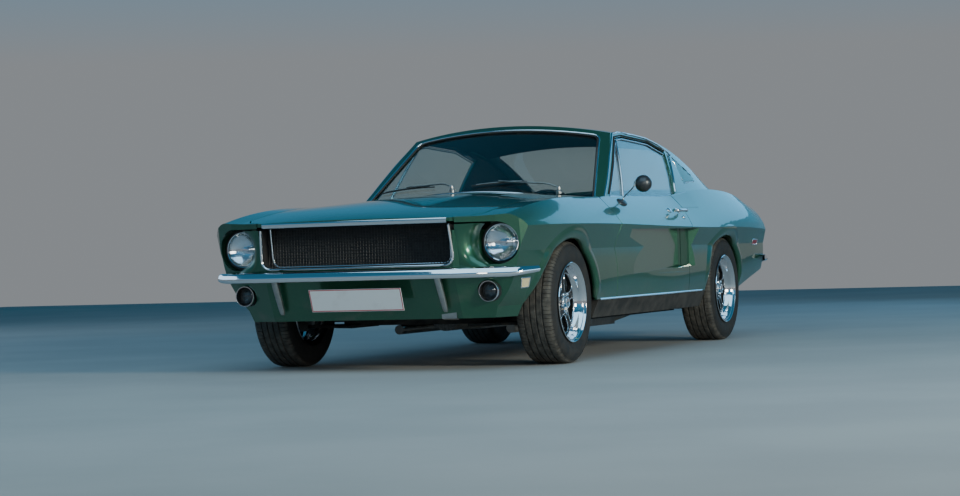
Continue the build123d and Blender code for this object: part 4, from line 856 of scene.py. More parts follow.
# Wheel section: (radius, distance outboard of the middle)
RIM = [
    (0.2070, 0.1005), (0.2066, 0.1040), (0.2045, 0.1056), (0.2015, 0.1046), (0.1988, 0.0990),
    (0.1962, 0.0945), (0.1905, 0.0930), (0.1880, 0.0895), (0.1850, 0.0700), (0.1800, 0.0540),
    (0.1765, 0.0470), (0.1720, 0.0300), (0.1705, 0.0000), (0.1740, -0.0450), (0.1860, -0.0620),
    (0.1880, -0.0900), (0.1990, -0.0990), (0.2050, -0.1050), (0.2070, -0.1000), (0.1990, -0.0930),
    (0.1920, -0.0880), (0.1920, -0.0660), (0.1790, -0.0520), (0.1790, 0.0300), (0.1840, 0.0520),
    (0.1920, 0.0670), (0.1920, 0.0880), (0.1990, 0.0930),
]
# Star: face and back outboard of the middle, a fifth of a turn in degrees, radii of the nuts and the stem
SPOKE_HIGH, SPOKE_LOW = 0.0520, 0.0260
SECTOR = 72.0
NUT_RING_R, STEM_RING_R = 0.0490, 0.183
# One spoke from the hub outwards: (radius, half its width in degrees), whole where it is half a sector
SPOKE_ROWS = (
    (0.0300, 36.0), (0.0560, 36.0), (0.0610, 36.0), (0.0625, 31.0), (0.0660, 26.0), (0.0720, 20.5),
    (0.0820, 15.4), (0.0960, 11.6), (0.1120, 9.7), (0.1280, 9.2), (0.1400, 9.8), (0.1490, 11.6),
    (0.1550, 14.6), (0.1590, 19.0), (0.1610, 26.0), (0.1615, 36.0), (0.1650, 36.0), (0.1735, 36.0),
)


def polar(radius, angle, height):
    """A point on the wheel's face, from a radius and an angle in degrees."""
    return Vector((cos(radians(angle)) * radius, sin(radians(angle)) * radius, height))


def spoke_sector():
    """A fifth of the wheel's star: one spoke with its share of the hub and the rim, outboard towards +Z."""
    spread = [-1 + i / 4 for i in range(9)]
    top, low = [], []
    for radius, half in SPOKE_ROWS:
        fall, rise = max(0.0, (radius - 0.135) / 0.038), max(0.0, (0.08 - radius) / 0.05)
        dish = SPOKE_HIGH - 0.010 * fall + 0.002 * rise
        groove = 0.007 if 0.084 < radius < 0.153 else 0.0
        hollow = [1 - abs(t) * 1.6 if abs(t) < 0.6 else 0.0 for t in spread]
        heights = [dish - groove * h - 0.003 * abs(t) ** 6 for h, t in zip(hollow, spread)]
        top.append([polar(radius, half * t, h) for t, h in zip(spread, heights)])
        low.append([polar(radius, half * t, SPOKE_LOW) for t in spread])
    parts = [sheet_of(top), sheet_of(low)]
    open_rows = [i for i, (_, half) in enumerate(SPOKE_ROWS) if half < SECTOR / 2]
    first, last = open_rows[0] - 1, open_rows[-1] + 1
    for edge in (0, -1):
        wall = [[top[i][edge], low[i][edge]] for i in range(first, last + 1)]
        parts.append(sheet_of(wall))
    return joined(*parts)


def window_edge():
    """Outline of one opening between two spokes."""
    rows = [(radius, half) for radius, half in SPOKE_ROWS if 0.0605 < radius < 0.1618]
    line = [polar(r, half, SPOKE_HIGH - 0.0025) for r, half in rows]
    line += [polar(r, SECTOR - half, SPOKE_HIGH - 0.0025) for r, half in reversed(rows)]
    clean = []
    for point in line:
        if not clean or (point - clean[-1]).length > 0.002:
            clean.append(point)
    return clean if (clean[0] - clean[-1]).length > 0.002 else clean[:-1]


def wheels():
    """Polished deep rim, dark five-spoke star with bright edges, cap, nuts and a valve stem."""
    outwards = (0, 0, 1)
    turn = {"Step": tau / 5, "Axis": outwards}
    rim = lathe(RIM + RIM[:1], (0, 0, 0), outwards, 96)
    star = tidy(grown(RING_OF, spoke_sector(), SPOKE_DARK, Count=5, **turn))
    edge = bead(window_edge(), [outwards] * len(window_edge()), 0.0042, 0.0050, CHROME, closed=True)
    edges = grown(RING_OF, edge, CHROME, Count=5, **turn)
    cap_line = [
        (0.0340, 0.0500), (0.0340, 0.0590), (0.0325, 0.0620), (0.0285, 0.0630), (0.0275, 0.0660),
        (0.0275, 0.0745), (0.0262, 0.0775), (0.0235, 0.0785), (0.0225, 0.0770), (0.0150, 0.0775),
        (0.0, 0.0782),
    ]
    cap = lathe(cap_line, (0, 0, 0), outwards, 48)
    nut_line = [(0.0105, 0.0530), (0.0105, 0.0620), (0.0090, 0.0655), (0.0045, 0.0690), (0.0, 0.0695)]
    nut = lathe(nut_line, (0, 0, 0), outwards, 6)
    for vertex in nut.vertices:
        vertex.co += polar(NUT_RING_R, SECTOR / 2, 0)
    nuts = grown(RING_OF, nut, CHROME, Count=5, **turn)
    stem_line = [(0.0035, 0.060), (0.0035, 0.082), (0.0025, 0.084), (0.0, 0.084)]
    stem = lathe(stem_line, polar(STEM_RING_R, SECTOR / 2, 0), outwards, 12)
    kinds = (
        ("rim", rim, POLISHED, "wheel_metal"), ("star", star, SPOKE_DARK, "wheel_metal"),
        ("bright", joined(edges, cap, nuts), CHROME, "chrome"), ("stem", stem, RUBBER, "black_trim"),
    )
    for end, x in ENDS:
        for side, sign in SIDES:
            for name, mesh, finish, slot in kinds:
                made = joined(mesh)
                for vertex in made.vertices:
                    a, b, w = vertex.co
                    vertex.co = Vector((x + b, sign * (WHEEL_Y + w), AXLE_Z + a))
                if sign < 0:
                    made.flip_normals()
                gone = (f"wheel_{end}_{side}",) if name == "rim" else ()
                add(f"wheel_{name}_{end}_{side}", made, finish, f"wheel_{end}_{side}_body", gone)


def moved(mesh, turn, place):
    """The mesh, turned and then moved."""
    for vertex in mesh.vertices:
        vertex.co = turn @ vertex.co + Vector(place)
    return mesh


def oval_foot(profile, stretch, way, place, steps):
    """A turned foot, stretched along the car and stood on a surface that faces a way."""
    foot = lathe(profile, (0, 0, 0), (0, 0, 1), steps)
    for vertex in foot.vertices:
        vertex.co.x *= stretch
    return moved(foot, Vector((0, 0, 1)).rotation_difference(way).to_matrix(), place)


# Wipers: pivot, then the blade's two ends as a distance across and up the screen
WIPERS = (
    ((0.700, 0.500, 0.907), (-0.011, 0.090), (0.296, 0.149)),
    ((0.755, -0.115, 0.935), (-0.622, 0.189), (-0.249, 0.120)),
)


def wipers():
    """Bright arms from the cowl to black blades on the glass."""
    arms, blades = [], []
    for pivot, start, end in WIPERS:
        places = []
        for i in range(13):
            t = i / 12
            point, out = on_screen(start[0] + (end[0] - start[0]) * t, start[1] + (end[1] - start[1]) * t)
            places.append((point, out))
        outs = [out for _, out in places]
        blades.append(bead([p + n * 0.004 for p, n in places], outs, 0.006, 0.009, RUBBER))
        arms.append(bead([p + n * 0.010 for p, n in places[1:-1]], outs[1:-1], 0.004, 0.004, SATIN))
        middle, out = places[6]
        root = Vector(pivot) + Vector((0.0, 0.0, 0.020))
        elbow = root.lerp(middle, 0.25) + SCREEN_OUT * 0.022
        line = [root, root.lerp(elbow, 0.6) + SCREEN_OUT * 0.006, elbow,
                elbow.lerp(middle, 0.55) + SCREEN_OUT * 0.008,
                middle + out * 0.017, middle + out * 0.011]
        arms.append(bead(line, [SCREEN_OUT] * len(line), 0.009, 0.005, SATIN))
        knob = [(0.0, 0.030), (0.008, 0.029), (0.011, 0.022), (0.012, 0.008), (0.017, 0.004), (0.018, -0.012)]
        arms.append(lathe(knob, pivot, (0.2, 0, 1), 24))
    add("wiper_arms", joined(*arms), SATIN, "root", ("wipers",))
    add("wiper_blades", joined(*blades), RUBBER, "root")


# Door mirror: its foot, the middle of its head and the thickness of its arm
MIRROR_BASE, MIRROR_HEAD = (0.5400, 0.8070, 0.8400), (0.385, 0.884, 0.940)
MIRROR_ARM = 0.0085


def mirror():
    """Oval foot, thin arm with a knuckle and a satin domed head that faces back."""
    base, head = Vector(MIRROR_BASE), Vector(MIRROR_HEAD)
    forwards = Vector((1.0, 0.28, 0.06)).normalized()
    dome = [(0.0, 0.046), (0.012, 0.0452), (0.024, 0.0415), (0.035, 0.0335), (0.043, 0.0220),
            (0.0470, 0.0080), (0.0475, -0.004), (0.0460, -0.008), (0.0440, -0.006)]
    glass = [(0.0, -0.0055), (0.030, -0.0055), (0.0440, -0.0050)]
    skin = surface_of("door_left")
    spot, _, _, _ = skin.ray_cast(Vector((base.x, base.y, 1.5)), Vector((0, 0, -1)))
    normal = Vector((0.05, 0.62, 0.78)).normalized()
    foot_line = [(0.0, 0.012), (0.012, 0.0115), (0.022, 0.0095), (0.029, 0.0045), (0.0305, -0.006)]
    foot = oval_foot(foot_line, 1.9, normal, spot, steps=40)
    knuckle = head + Vector((0.026, -0.036, 0.008))
    line = curved([spot + normal * 0.006, spot + normal * 0.020 + Vector((-0.006, 0.0, 0.012)),
                   knuckle + Vector((0.020, -0.010, -0.030)), knuckle], 4)
    arm = bead(line, [FORWARDS] * len(line), MIRROR_ARM, MIRROR_ARM, SATIN)
    ball_line = [(0.0, 0.009), (0.005, 0.008), (0.0085, 0.003), (0.009, -0.004), (0.006, -0.010),
                 (0.0, -0.011)]
    ball = lathe(ball_line, knuckle, (0.3, -1, 0.1), 24)
    add("mirror_head", joined(lathe(dome, head, forwards, 56), foot), GUNMETAL, "door_left_body",
        ("door_mirror",), angle=60)
    add("mirror_arm", joined(arm, ball), SATIN, "door_left_body", angle=60)
    add("mirror_glass", lathe(glass, head, forwards, 56), MIRROR_GLASS, "door_left_body")


# Height of the door handle
HANDLE_Z = 0.793


def door_fittings():
    """Bowed handle with its button, and the key lock below it."""
    skin = surface_of("door_left")
    line = [(-0.182, -0.004), (-0.186, 0.010), (-0.204, 0.019), (-0.250, 0.0235), (-0.300, 0.0235),
            (-0.334, 0.0215), (-0.352, 0.014), (-0.358, -0.004)]
    at = curved([(x, 0.880 + reach, HANDLE_Z) for x, reach in line], 3)
    handle = bead(at, [OUTWARD] * len(at), 0.021, 0.019, CHROME)
    feet = []
    foot_line = [(0.0, 0.009), (0.010, 0.008), (0.0155, 0.004), (0.017, -0.003)]
    for x in (-0.186, -0.350):
        spot, outs = laid(skin, [(x, BESIDE_Y, HANDLE_Z)], INWARD)
        feet.append(oval_foot(foot_line, 1.5, outs[0], spot[0], steps=28))
    button_line = [(0.0, 0.014), (0.008, 0.0125), (0.0105, 0.008), (0.0105, 0.0)]
    button = lathe(button_line, (-0.330, 0.899, HANDLE_Z), OUTWARD, 24)
    lock = laid(skin, [(-0.374, BESIDE_Y, 0.752)], INWARD)[0][0]
    keyhole_line = [(0.0, 0.004), (0.006, 0.0045), (0.0080, 0.006), (0.0115, 0.005), (0.0135, 0.0)]
    keyhole = lathe(keyhole_line, lock, (0, 1, 0.15), 24)
    pair("handle", joined(handle, *feet, button, keyhole), CHROME, "door_{side}_body")


# Wheel opening in the side view, from its axle: foot, rear, crown, front, knee, toe
ARCH = ((-0.326, 0.330), (-0.228, 0.549), (0.006, 0.646), (0.244, 0.594), (0.383, 0.470), (0.452, 0.330))
# Across the lip, from inside the opening outwards: (distance from the edge, how far it stands off the flank)
LIP = ((-0.003, -0.024), (-0.0055, -0.018), (-0.0055, -0.009), (-0.002, 0.001), (0.006, 0.0065),
       (0.016, 0.0095), (0.028, 0.0090), (0.040, 0.0060), (0.052, 0.0025), (0.062, 0.0003),
       (0.068, -0.0012))


def arc_through(a, b, c, steps):
    """Points on the circle through three points, from the first to the last."""
    ax, ay, bx, by, cx, cy = *a, *b, *c
    d = 2 * (ax * (by - cy) + bx * (cy - ay) + cx * (ay - by))
    squares = [p * p + q * q for p, q in (a, b, c)]
    ux = (squares[0] * (by - cy) + squares[1] * (cy - ay) + squares[2] * (ay - by)) / d
    uy = (squares[0] * (cx - bx) + squares[1] * (ax - cx) + squares[2] * (bx - ax)) / d
    angles = [atan2(y - uy, x - ux) for x, y in (a, b, c)]
    sweep = (angles[2] - angles[0]) % tau
    if (angles[1] - angles[0]) % tau > sweep:
        sweep -= tau
    radius = hypot(ax - ux, ay - uy)
    turns = [angles[0] + sweep * i / steps for i in range(steps + 1)]
    return [(ux + radius * cos(t), uy + radius * sin(t)) for t in turns]


def arch_lips():
    """Rolled painted lips round the wheel openings, standing a little off the flanks."""
    foot, rear, crown, front, knee, toe = ARCH
    line = arc_through(foot, rear, crown, 22) + arc_through(crown, front, knee, 22)[1:]
    straight = (0.25, 0.5, 0.75, 0.97)
    line += [(knee[0] + (toe[0] - knee[0]) * t, knee[1] + (toe[1] - knee[1]) * t) for t in straight]
    skins = {"front": surface_of("front_wing_left", "front_valance"), "rear": surface_of("quarter_left")}
    for end, axle in ENDS:
        rows = []
        for i, (dx, z) in enumerate(line):
            before, after = line[max(0, i - 1)], line[min(len(line) - 1, i + 1)]
            along = Vector((after[0] - before[0], 0, after[1] - before[1])).normalized()
            outward = Vector((-along.z, 0, along.x))
            place = Vector((axle + dx, 0, z))
            sink = 1 - min(1.0, i / 3, (len(line) - 1 - i) / 3)
            row, last = [], None
            for reach, stand in reversed(LIP):
                spot = place + outward * reach
                probe = place + outward * max(reach, 0.004)
                hit, _, _, _ = skins[end].ray_cast(Vector((probe.x, BESIDE_Y, probe.z)), Vector(INWARD), 0.9)
                last = hit.y if hit and hit.y > 0.6 else last
                if last is None:
                    break
                row.append(Vector((spot.x, last + stand - max(0.0, stand + 0.001) * sink, spot.z)))
            if len(row) == len(LIP):
                rows.append(row)
        sheet = turned_to(tidy(sheet_of(rows)), OUTWARD)
        pair(f"arch_lip_{end}", sheet, PAINT, "root", angle=60)


def slab(face, thick):
    """A flat outline in space given a thickness along its normal, with softened rims."""
    work = bmesh.new()
    ring = [work.verts.new(p) for p in face]
    made = work.faces.new(ring)
    work.normal_update()
    up = made.normal.copy()
    top = bmesh.ops.extrude_face_region(work, geom=[made])
    for v in (g for g in top["geom"] if isinstance(g, bmesh.types.BMVert)):
        v.co += up * thick
    bmesh.ops.recalc_face_normals(work, faces=work.faces)
    rims = [e for e in work.edges if e.calc_face_angle(0) > 0.6]
    bmesh.ops.bevel(work, geom=rims, offset=thick * 0.35, segments=2, affect="EDGES")
    mesh = bpy.data.meshes.new("slab")
    work.to_mesh(mesh)
    work.free()
    return mesh


# Tail lenses, three a side: their middles across the car, their foot and top, and the panel that they sit in
TAIL_LENSES = [sign * (0.380 + 0.082 * i) for _, sign in SIDES for i in range(3)]
LENS_LOW, LENS_HIGH, LENS_HALF = 0.610, 0.738, 0.030
TAIL_X, TAIL_LEAN = -2.2660, 0.06
BEZEL = 0.003


def rear_trim():
    """Bright bezels round the tail lenses, and a plain fuel cap with a dark band."""
    frames = []
    for y in TAIL_LENSES:
        half, low, high = LENS_HALF + BEZEL, LENS_LOW - BEZEL, LENS_HIGH + BEZEL
        line = rounded([(y - half, low), (y + half, low), (y + half, high), (y - half, high)], 0.012, 4)
        places = [Vector((TAIL_X + (b - 0.64) * TAIL_LEAN, a, b)) for a, b in line]
        frames.append(bead(places, [BACKWARDS] * len(places), 0.008, 0.014, CHROME, closed=True))
    skin = surface_of("rear_panels", "boot_lid")
    spot = laid(skin, [(BEHIND_X, 0.0, 0.676)], FORWARDS)[0][0]
    cap_way = (-1, 0, 0.1)
    cap = [(0.0, 0.019), (0.022, 0.0185), (0.030, 0.016), (0.036, 0.012), (0.054, 0.012), (0.060, 0.0095),
           (0.062, 0.004), (0.062, -0.004)]
    frames.append(lathe(cap, spot, cap_way, 56))
    add("tail_bezels", joined(*frames), CHROME, "root")
    ring = [(0.037, 0.0118), (0.038, 0.0134), (0.051, 0.0134), (0.052, 0.0118)]
    add("cap_band", lathe(ring, spot, cap_way, 56), RUBBER, "root")


def tail_caps():
    """Painted ends of the tail's upper edge, beside the boot lid."""
    front, rear_edge, inner_y, high = -2.1203, -2.2545, 0.59, 0.8525
    rows = []
    for y in (0.5938, 0.5945, 0.6200, 0.6500, 0.6800, 0.6998):
        top = high - (y - inner_y) * 0.045
        rear = rear_edge + (y - inner_y) * 0.219
        low = 0.7645 if y > 0.594 else 0.7650
        rows.append([Vector((x, y, z)) for x, z in (
            (front, low), (front, top), (rear + 0.006, top - 0.0132), (rear - 0.0045, top - 0.0145),
            (rear - 0.0070, top - 0.0190), (rear, low),
        )])
    pair("tail_cap", skinned(rows), PAINT, "root")


def markers():
    """Side marker lamps: whitish amber in front, red at the rear, each in a thin bright frame."""
    kinds = (
        ("front", ((2.062, 0.454), (1.980, 0.456), (1.964, 0.408), (2.030, 0.405)), AMBER_LENS, "lamp_glass"),
        ("rear", ((-1.845, 0.614), (-1.965, 0.612), (-1.965, 0.580), (-1.845, 0.582)), RED_LENS, "red_lens"),
    )
    skins = {"front": surface_of("front_valance", "front_wing_left"), "rear": surface_of("quarter_left")}
    for end, outline, finish, slot in kinds:
        line = rounded(outline, 0.006, 3)
        places, outs = laid(skins[end], [(p[0], BESIDE_Y, p[1]) for p in line], INWARD, 0.002)
        frame_bead = bead(places, outs, 0.005, 0.007, CHROME, closed=True)
        lens = slab([p - n * 0.001 for p, n in zip(places, outs)], 0.007)
        pair(f"marker_frame_{end}", frame_bead, CHROME, "root")
        pair(f"marker_{end}", lens, finish, "root")


def bars_of(side, y0, y1):
    """A side-view outline (x, z) stretched across the car as a closed block."""
    return skinned([[Vector((x, y, z)) for x, z in side] for y in (y0, y1)])


def through(mesh, *modifiers, frames=1):
    """The plain mesh after some modifiers, run over some frames."""
    carrier = bpy.data.objects.new("carrier", mesh)
    bpy.context.scene.collection.objects.link(carrier)
    for kind, settings in modifiers:
        modifier = carrier.modifiers.new(kind.lower(), kind)
        for key, value in settings.items():
            owner, name = modifier, key
            while "." in name:
                first, name = name.split(".", 1)
                owner = getattr(owner, first)
            setattr(owner, name, value)
    for number in range(1, frames + 1):
        bpy.context.scene.frame_set(number)
    made = bpy.data.meshes.new_from_object(carrier.evaluated_get(bpy.context.evaluated_depsgraph_get()))
    bpy.data.objects.remove(carrier)
    bpy.context.scene.frame_set(1)
    return made


def inflated(mesh, voxel, cap):
    """A padded shape: remeshed, blown up a little as cloth, its movement capped, then smoothed once."""
    start = through(mesh, ("REMESH", {"mode": "VOXEL", "voxel_size": voxel}))
    start = through(start, ("SMOOTH", {"factor": 0.5, "iterations": 6}))
    cloth = {
        "settings.use_pressure": True, "settings.uniform_pressure_force": 4.0, "settings.quality": 4,
        "settings.mass": 0.4, "settings.tension_stiffness": 12, "settings.compression_stiffness": 12,
        "settings.bending_stiffness": 1.5, "settings.effector_weights.gravity": 0.0,
        "collision_settings.use_collision": False, "point_cache.frame_end": 20,
    }
    puffed = through(start.copy(), ("CLOTH", cloth), frames=20)
    for before, after in zip(start.vertices, puffed.vertices):
        step = after.co - before.co
        if step.length > cap:
            after.co = before.co + step * (cap / step.length)
    return through(puffed, ("SUBSURF", {"levels": 1, "render_levels": 1}))


def quilted(mesh, seams, depth, width, where):
    """Presses sewn seams into a padded mesh; where tells which points lie on the sewn panels."""
    for vertex in mesh.vertices:
        push = where(vertex.co)
        if push is None:
            continue
        near = min(abs(vertex.co.y - seam) for seam in seams)
        if near < width * 3:
            vertex.co += push * depth * exp(-(near / width) ** 2)
    return mesh


# Sides of the front seat's two pads, and of the rear seat's, in the side view
CUSHION = ((0.318, 0.275), (0.330, 0.405), (-0.150, 0.366), (-0.178, 0.255), (-0.110, 0.232), (0.270, 0.232))
SQUAB = ((-0.158, 0.372), (-0.190, 0.262), (-0.240, 0.268), (-0.414, 0.852), (-0.392, 0.888), (-0.342, 0.884))
REAR_CUSHION = ((-0.615, 0.318), (-0.590, 0.438), (-0.880, 0.424), (-0.890, 0.395), (-0.860, 0.318))
REAR_SQUAB = ((-0.895, 0.430), (-0.915, 0.400), (-0.965, 0.462), (-1.030, 0.470), (-1.030, 0.765),
              (-1.000, 0.788), (-0.975, 0.775))

# Left seat and bench: reach across the car, pitch of the seams, fineness of the remesh, limit of swelling
BUCKET_Y, BENCH_Y = (0.172, 0.608), (-0.545, 0.545)
BUCKET_SEAM_PITCH, BENCH_SEAM_PITCH = 0.052, 0.068
BUCKET_VOXEL, BENCH_VOXEL, SWELL = 0.0085, 0.0095, 0.012


def seats():
    """Padded buckets and rear bench with sewn channels."""
    bucket = joined(bars_of(CUSHION, *BUCKET_Y), bars_of(SQUAB, *BUCKET_Y))
    bucket = inflated(bucket, BUCKET_VOXEL, SWELL)
    seams = [sum(BUCKET_Y) / 2 + BUCKET_SEAM_PITCH * i for i in range(-3, 4)]

    def panel(p):
        if 0.36 < p.z < 0.46 and -0.12 < p.x < 0.25:
            return Vector((0, 0, -1))
        lean = -0.158 - (p.z - 0.372) * 0.355
        if 0.45 < p.z < 0.80 and p.x > lean - 0.03:
            return Vector((-1, 0, -0.2))
        return None

    bucket = quilted(bucket, seams, depth=0.007, width=0.006, where=panel)
    for side, mesh in (("left", bucket), ("right", twin(bucket))):
        piece = add(f"bucket_{side}", mesh, VINYL, "root", (f"seat_{side}",), angle=60)
    bench = joined(bars_of(REAR_CUSHION, *BENCH_Y), bars_of(REAR_SQUAB, *BENCH_Y))
    bench = inflated(bench, BENCH_VOXEL, SWELL)

    def rear_panel(p):
        if 0.40 < p.z < 0.47 and -0.84 < p.x < -0.62 and 0.08 < abs(p.y) < 0.5:
            return Vector((0, 0, -1))
        if 0.50 < p.z < 0.74 and p.x > -0.99 and 0.08 < abs(p.y) < 0.5:
            return Vector((-1, 0, 0))
        return None

    seams = [sign * (0.09 + BENCH_SEAM_PITCH * i) for i in range(7) for _, sign in SIDES]
    bench = quilted(bench, seams, depth=0.006, width=0.007, where=rear_panel)
    piece = add("bench", bench, VINYL, "root", ("rear_seat",), angle=60)


def curved(points, steps=6):
    """A smooth line through points of any dimension."""
    points = [Vector(p) for p in points]
    padded = [points[0] * 2 - points[1]] + points + [points[-1] * 2 - points[-2]]
    line = []
    for a, b, c, d in zip(padded, padded[1:], padded[2:], padded[3:]):
        for i in range(steps):
            t = i / steps
            bend = (c - a) * t + (a * 2 - b * 5 + c * 4 - d) * t * t + (b * 3 - a - c * 3 + d) * t ** 3
            line.append(b + bend * 0.5)
    return line + [points[-1]]


# Bumper blades seen from above, as the model has them
FRONT_BUMPER = ((2.3315, 0), (2.3305, 0.240), (2.326, 0.440), (2.315, 0.560), (2.284, 0.660),
                (2.231, 0.753), (2.165, 0.841), (2.059, 0.896))
REAR_BUMPER = ((-2.3315, 0), (-2.3305, 0.260), (-2.326, 0.480), (-2.314, 0.600), (-2.288, 0.700),
               (-2.250, 0.780), (-2.190, 0.858), (-2.050, 0.896))
# Section of a blade: back from its foremost line, and up from its foot
BLADE = ((0.0255, 0.004), (0.016, 0.0006), (0.008, 0.0020), (0.0025, 0.0075), (0.0002, 0.0150),
         (0.0000, 0.0230), (0.0012, 0.0270), (0.0030, 0.0300), (0.0052, 0.0370), (0.0095, 0.0440),
         (0.0160, 0.0495), (0.0225, 0.0518), (0.0255, 0.0500))
# Foot and top of both bumper blades
BLADE_LOW, BLADE_HIGH = 0.462, 0.514


def blade(points):
    """A bumper blade: upper slope, crease and lower roll, thinning to its two tips."""
    half = curved(points, 5)
    line = [Vector((p.x, -p.y)) for p in reversed(half[1:])] + half
    forwards = 1 if points[0][0] > 0 else -1
    rows = []
    for i, place in enumerate(line):
        along = (line[min(i + 1, len(line) - 1)] - line[max(i - 1, 0)]).normalized()
        inward = Vector((-along.y, along.x))
        if inward.x * forwards > 0:
            inward = -inward
        thin = min(1.0, max(0.0, (0.905 - abs(place.y)) / 0.11)) ** 0.5
        deep, high = 0.35 + 0.65 * thin, 0.42 + 0.58 * thin
        rows.append([
            Vector((place.x + inward.x * back * deep, place.y + inward.y * back * deep,
                    BLADE_HIGH - (BLADE_HIGH - BLADE_LOW - up) * high))
            for back, up in BLADE
        ])
    return skinned(rows)


# A bumper guard from top to foot: (x of its middle, y, z, half depth, half width)
FRONT_GUARD = ((2.3040, 0.446, 0.4700, 0.0140, 0.0150), (2.2950, 0.447, 0.4500, 0.0170, 0.0170),
               (2.2680, 0.448, 0.4000, 0.0165, 0.0165), (2.2380, 0.449, 0.3450, 0.0150, 0.0150),
               (2.2180, 0.450, 0.3080, 0.0125, 0.0125), (2.2110, 0.450, 0.2960, 0.0060, 0.0070))
REAR_GUARD = ((-2.3030, 0.441, 0.4760, 0.0130, 0.0150), (-2.3050, 0.441, 0.4500, 0.0160, 0.0180),
              (-2.2980, 0.441, 0.4000, 0.0170, 0.0180), (-2.2800, 0.441, 0.3500, 0.0150, 0.0160),
              (-2.2660, 0.441, 0.3260, 0.0090, 0.0090))


def guard(stations):
    """An upright bumper guard through its stations."""
    rows = []
    for x, y, z, deep, half in curved([Vector(s) for s in stations], 4):
        ring = [tau * i / 20 for i in range(20)]
        rows.append([
            Vector((x + deep * copysign(abs(cos(a)) ** 0.7, cos(a)), y + half * sin(a), z)) for a in ring
        ])
    return skinned(rows)


def bumpers():
    """Chromed blades with rounded faces, satin guards, the irons behind them and the tie-down plate."""
    iron = bars_of(((2.121, 0.396), (2.121, 0.424), (2.304, 0.486), (2.304, 0.470)), 0.440, 0.452)
    plates = bars_of(((2.182, 0.312), (2.176, 0.262), (2.150, 0.256), (2.150, 0.260), (2.172, 0.266),
                      (2.178, 0.312)), 0.412, 0.492)
    front_guard, rear_guard = guard(FRONT_GUARD), guard(REAR_GUARD)
    rear_iron = bars_of(((-2.200, 0.470), (-2.200, 0.488), (-2.306, 0.488), (-2.306, 0.470)), 0.302, 0.328)
    add("front_blade", blade(FRONT_BUMPER), CHROME, "root", ("front_bumper",), angle=50)
    add("rear_blade", blade(REAR_BUMPER), CHROME, "root", ("rear_bumper",), angle=50)
    add("guards", joined(front_guard, twin(front_guard), rear_guard, twin(rear_guard)), SATIN, "root",
        angle=50)
    irons = joined(iron, twin(iron), rear_iron, twin(rear_iron))
    add("bumper_irons", irons, UNDERBODY, "root")
    add("tie_plate", plates, SATIN, "root")


# Sill of the side cove: where it starts and ends, its height, and its rise and depth at the end
COVE_FRONT_X, COVE_REAR_X, COVE_Z, COVE_RISE, COVE_DEEP = 0.132, -0.578, 0.440, 0.038, 0.030

# Where the sill stops at the door's shut line, and the nearest that the flank is measured to that line
SILL_DOOR_X, SILL_QUARTER_X = -0.4560, -0.4622
MEASURE_DOOR_X, MEASURE_QUARTER_X = -0.4530, -0.4670


def cove_sill():
    """Sloping sill along the foot of the side cove, split where the door shuts."""
    skin = surface_of("door_left", "quarter_left")
    for name, body, start, end in (
        ("door", "door_{side}_body", COVE_FRONT_X, SILL_DOOR_X),
        ("quarter", "root", SILL_QUARTER_X, COVE_REAR_X),
    ):
        rows = []
        for i in range(9):
            x = start + (end - start) * i / 8
            t = (COVE_FRONT_X - x) / (COVE_FRONT_X - COVE_REAR_X) + 0.004
            beside = max(x, MEASURE_DOOR_X) if name == "door" else min(x, MEASURE_QUARTER_X)
            hit, _, _, _ = skin.ray_cast(Vector((beside, BESIDE_Y, COVE_Z - 0.012)), Vector(INWARD))
            face = hit.y + 0.0004
            rows.append([Vector((x, face, COVE_Z - 0.004)), Vector((x, face - 0.001, COVE_Z)),
                         Vector((x, face - COVE_DEEP * t, COVE_Z + COVE_RISE * t)),
                         Vector((x, face - COVE_DEEP * t - 0.003, COVE_Z - 0.004))])
        pair(f"cove_sill_{name}", skinned(rows), PAINT, body)


# Shoulder beside the door glass: its two ends, the middle (y, z) that it is measured from, its inner limit
SHOULDER_FROM, SHOULDER_TO = -0.4640, -0.7450
SHOULDER_CENTRE, GLASS_CLEAR_Y = (0.760, 0.790), 0.723


def shoulder_fill():
    """Painted shoulder of the quarter below the rear end of the door glass."""
    skin = surface_of("door_left", "quarter_left")
    angles = [radians(16 + 4 * i) for i in range(27)]

    def section(x, measured_at, top):
        row = []
        for angle in angles:
            out = Vector((0, cos(angle), sin(angle)))
            centre = Vector((measured_at, *SHOULDER_CENTRE))
            hit, _, _, _ = skin.ray_cast(centre + out * 0.5, -out, 0.6)
            if hit is None or (hit - centre).length < 0.04:
                break
            if hit.z > top:
                hit = centre + out * ((top - centre.z) / sin(angle))
            row.append(Vector((x, max(hit.y, GLASS_CLEAR_Y), hit.z)) + out * 0.0012)
        return row

    first, last = section(SHOULDER_FROM, -0.4500, 0.885), section(SHOULDER_TO, -0.7600, 0.911)
    count = min(len(first), len(last))
    rows = []
    for i in range(9):
        t = i / 8
        rows.append([a.lerp(b, t) for a, b in zip(first[:count], last[:count])])
    sheet = turned_to(tidy(sheet_of(rows)), (0, 1, 1))
    solid = through(sheet, ("SOLIDIFY", {"thickness": 0.004, "offset": -1.0}))
    pair("shoulder", joined(solid), PAINT, "root", angle=50)


def lining(name, sources, test, lift, finish, body):
    """A thin lining laid over the faces of some nodes that pass a test."""
    vertices, faces = [], []
    for source in sources:
        mesh = nodes[source].data
        for face in mesh.polygons:
            if not test(face.center, face.normal):
                continue
            first = len(vertices)
            vertices += [mesh.vertices[i].co.copy() for i in face.vertices]
            faces.append(tuple(first + i for i in range(len(face.vertices))))
    work = bmesh.new()
    work.from_mesh(mesh_of(vertices, faces))
    bmesh.ops.remove_doubles(work, verts=work.verts, dist=2e-5)
    work.normal_update()
    shifts = [v.normal * lift for v in work.verts]
    for vertex, shift in zip(work.verts, shifts):
        vertex.co += shift
    sheet = bpy.data.meshes.new(name)
    work.to_mesh(sheet)
    work.free()
    add(name, sheet, finish, body)


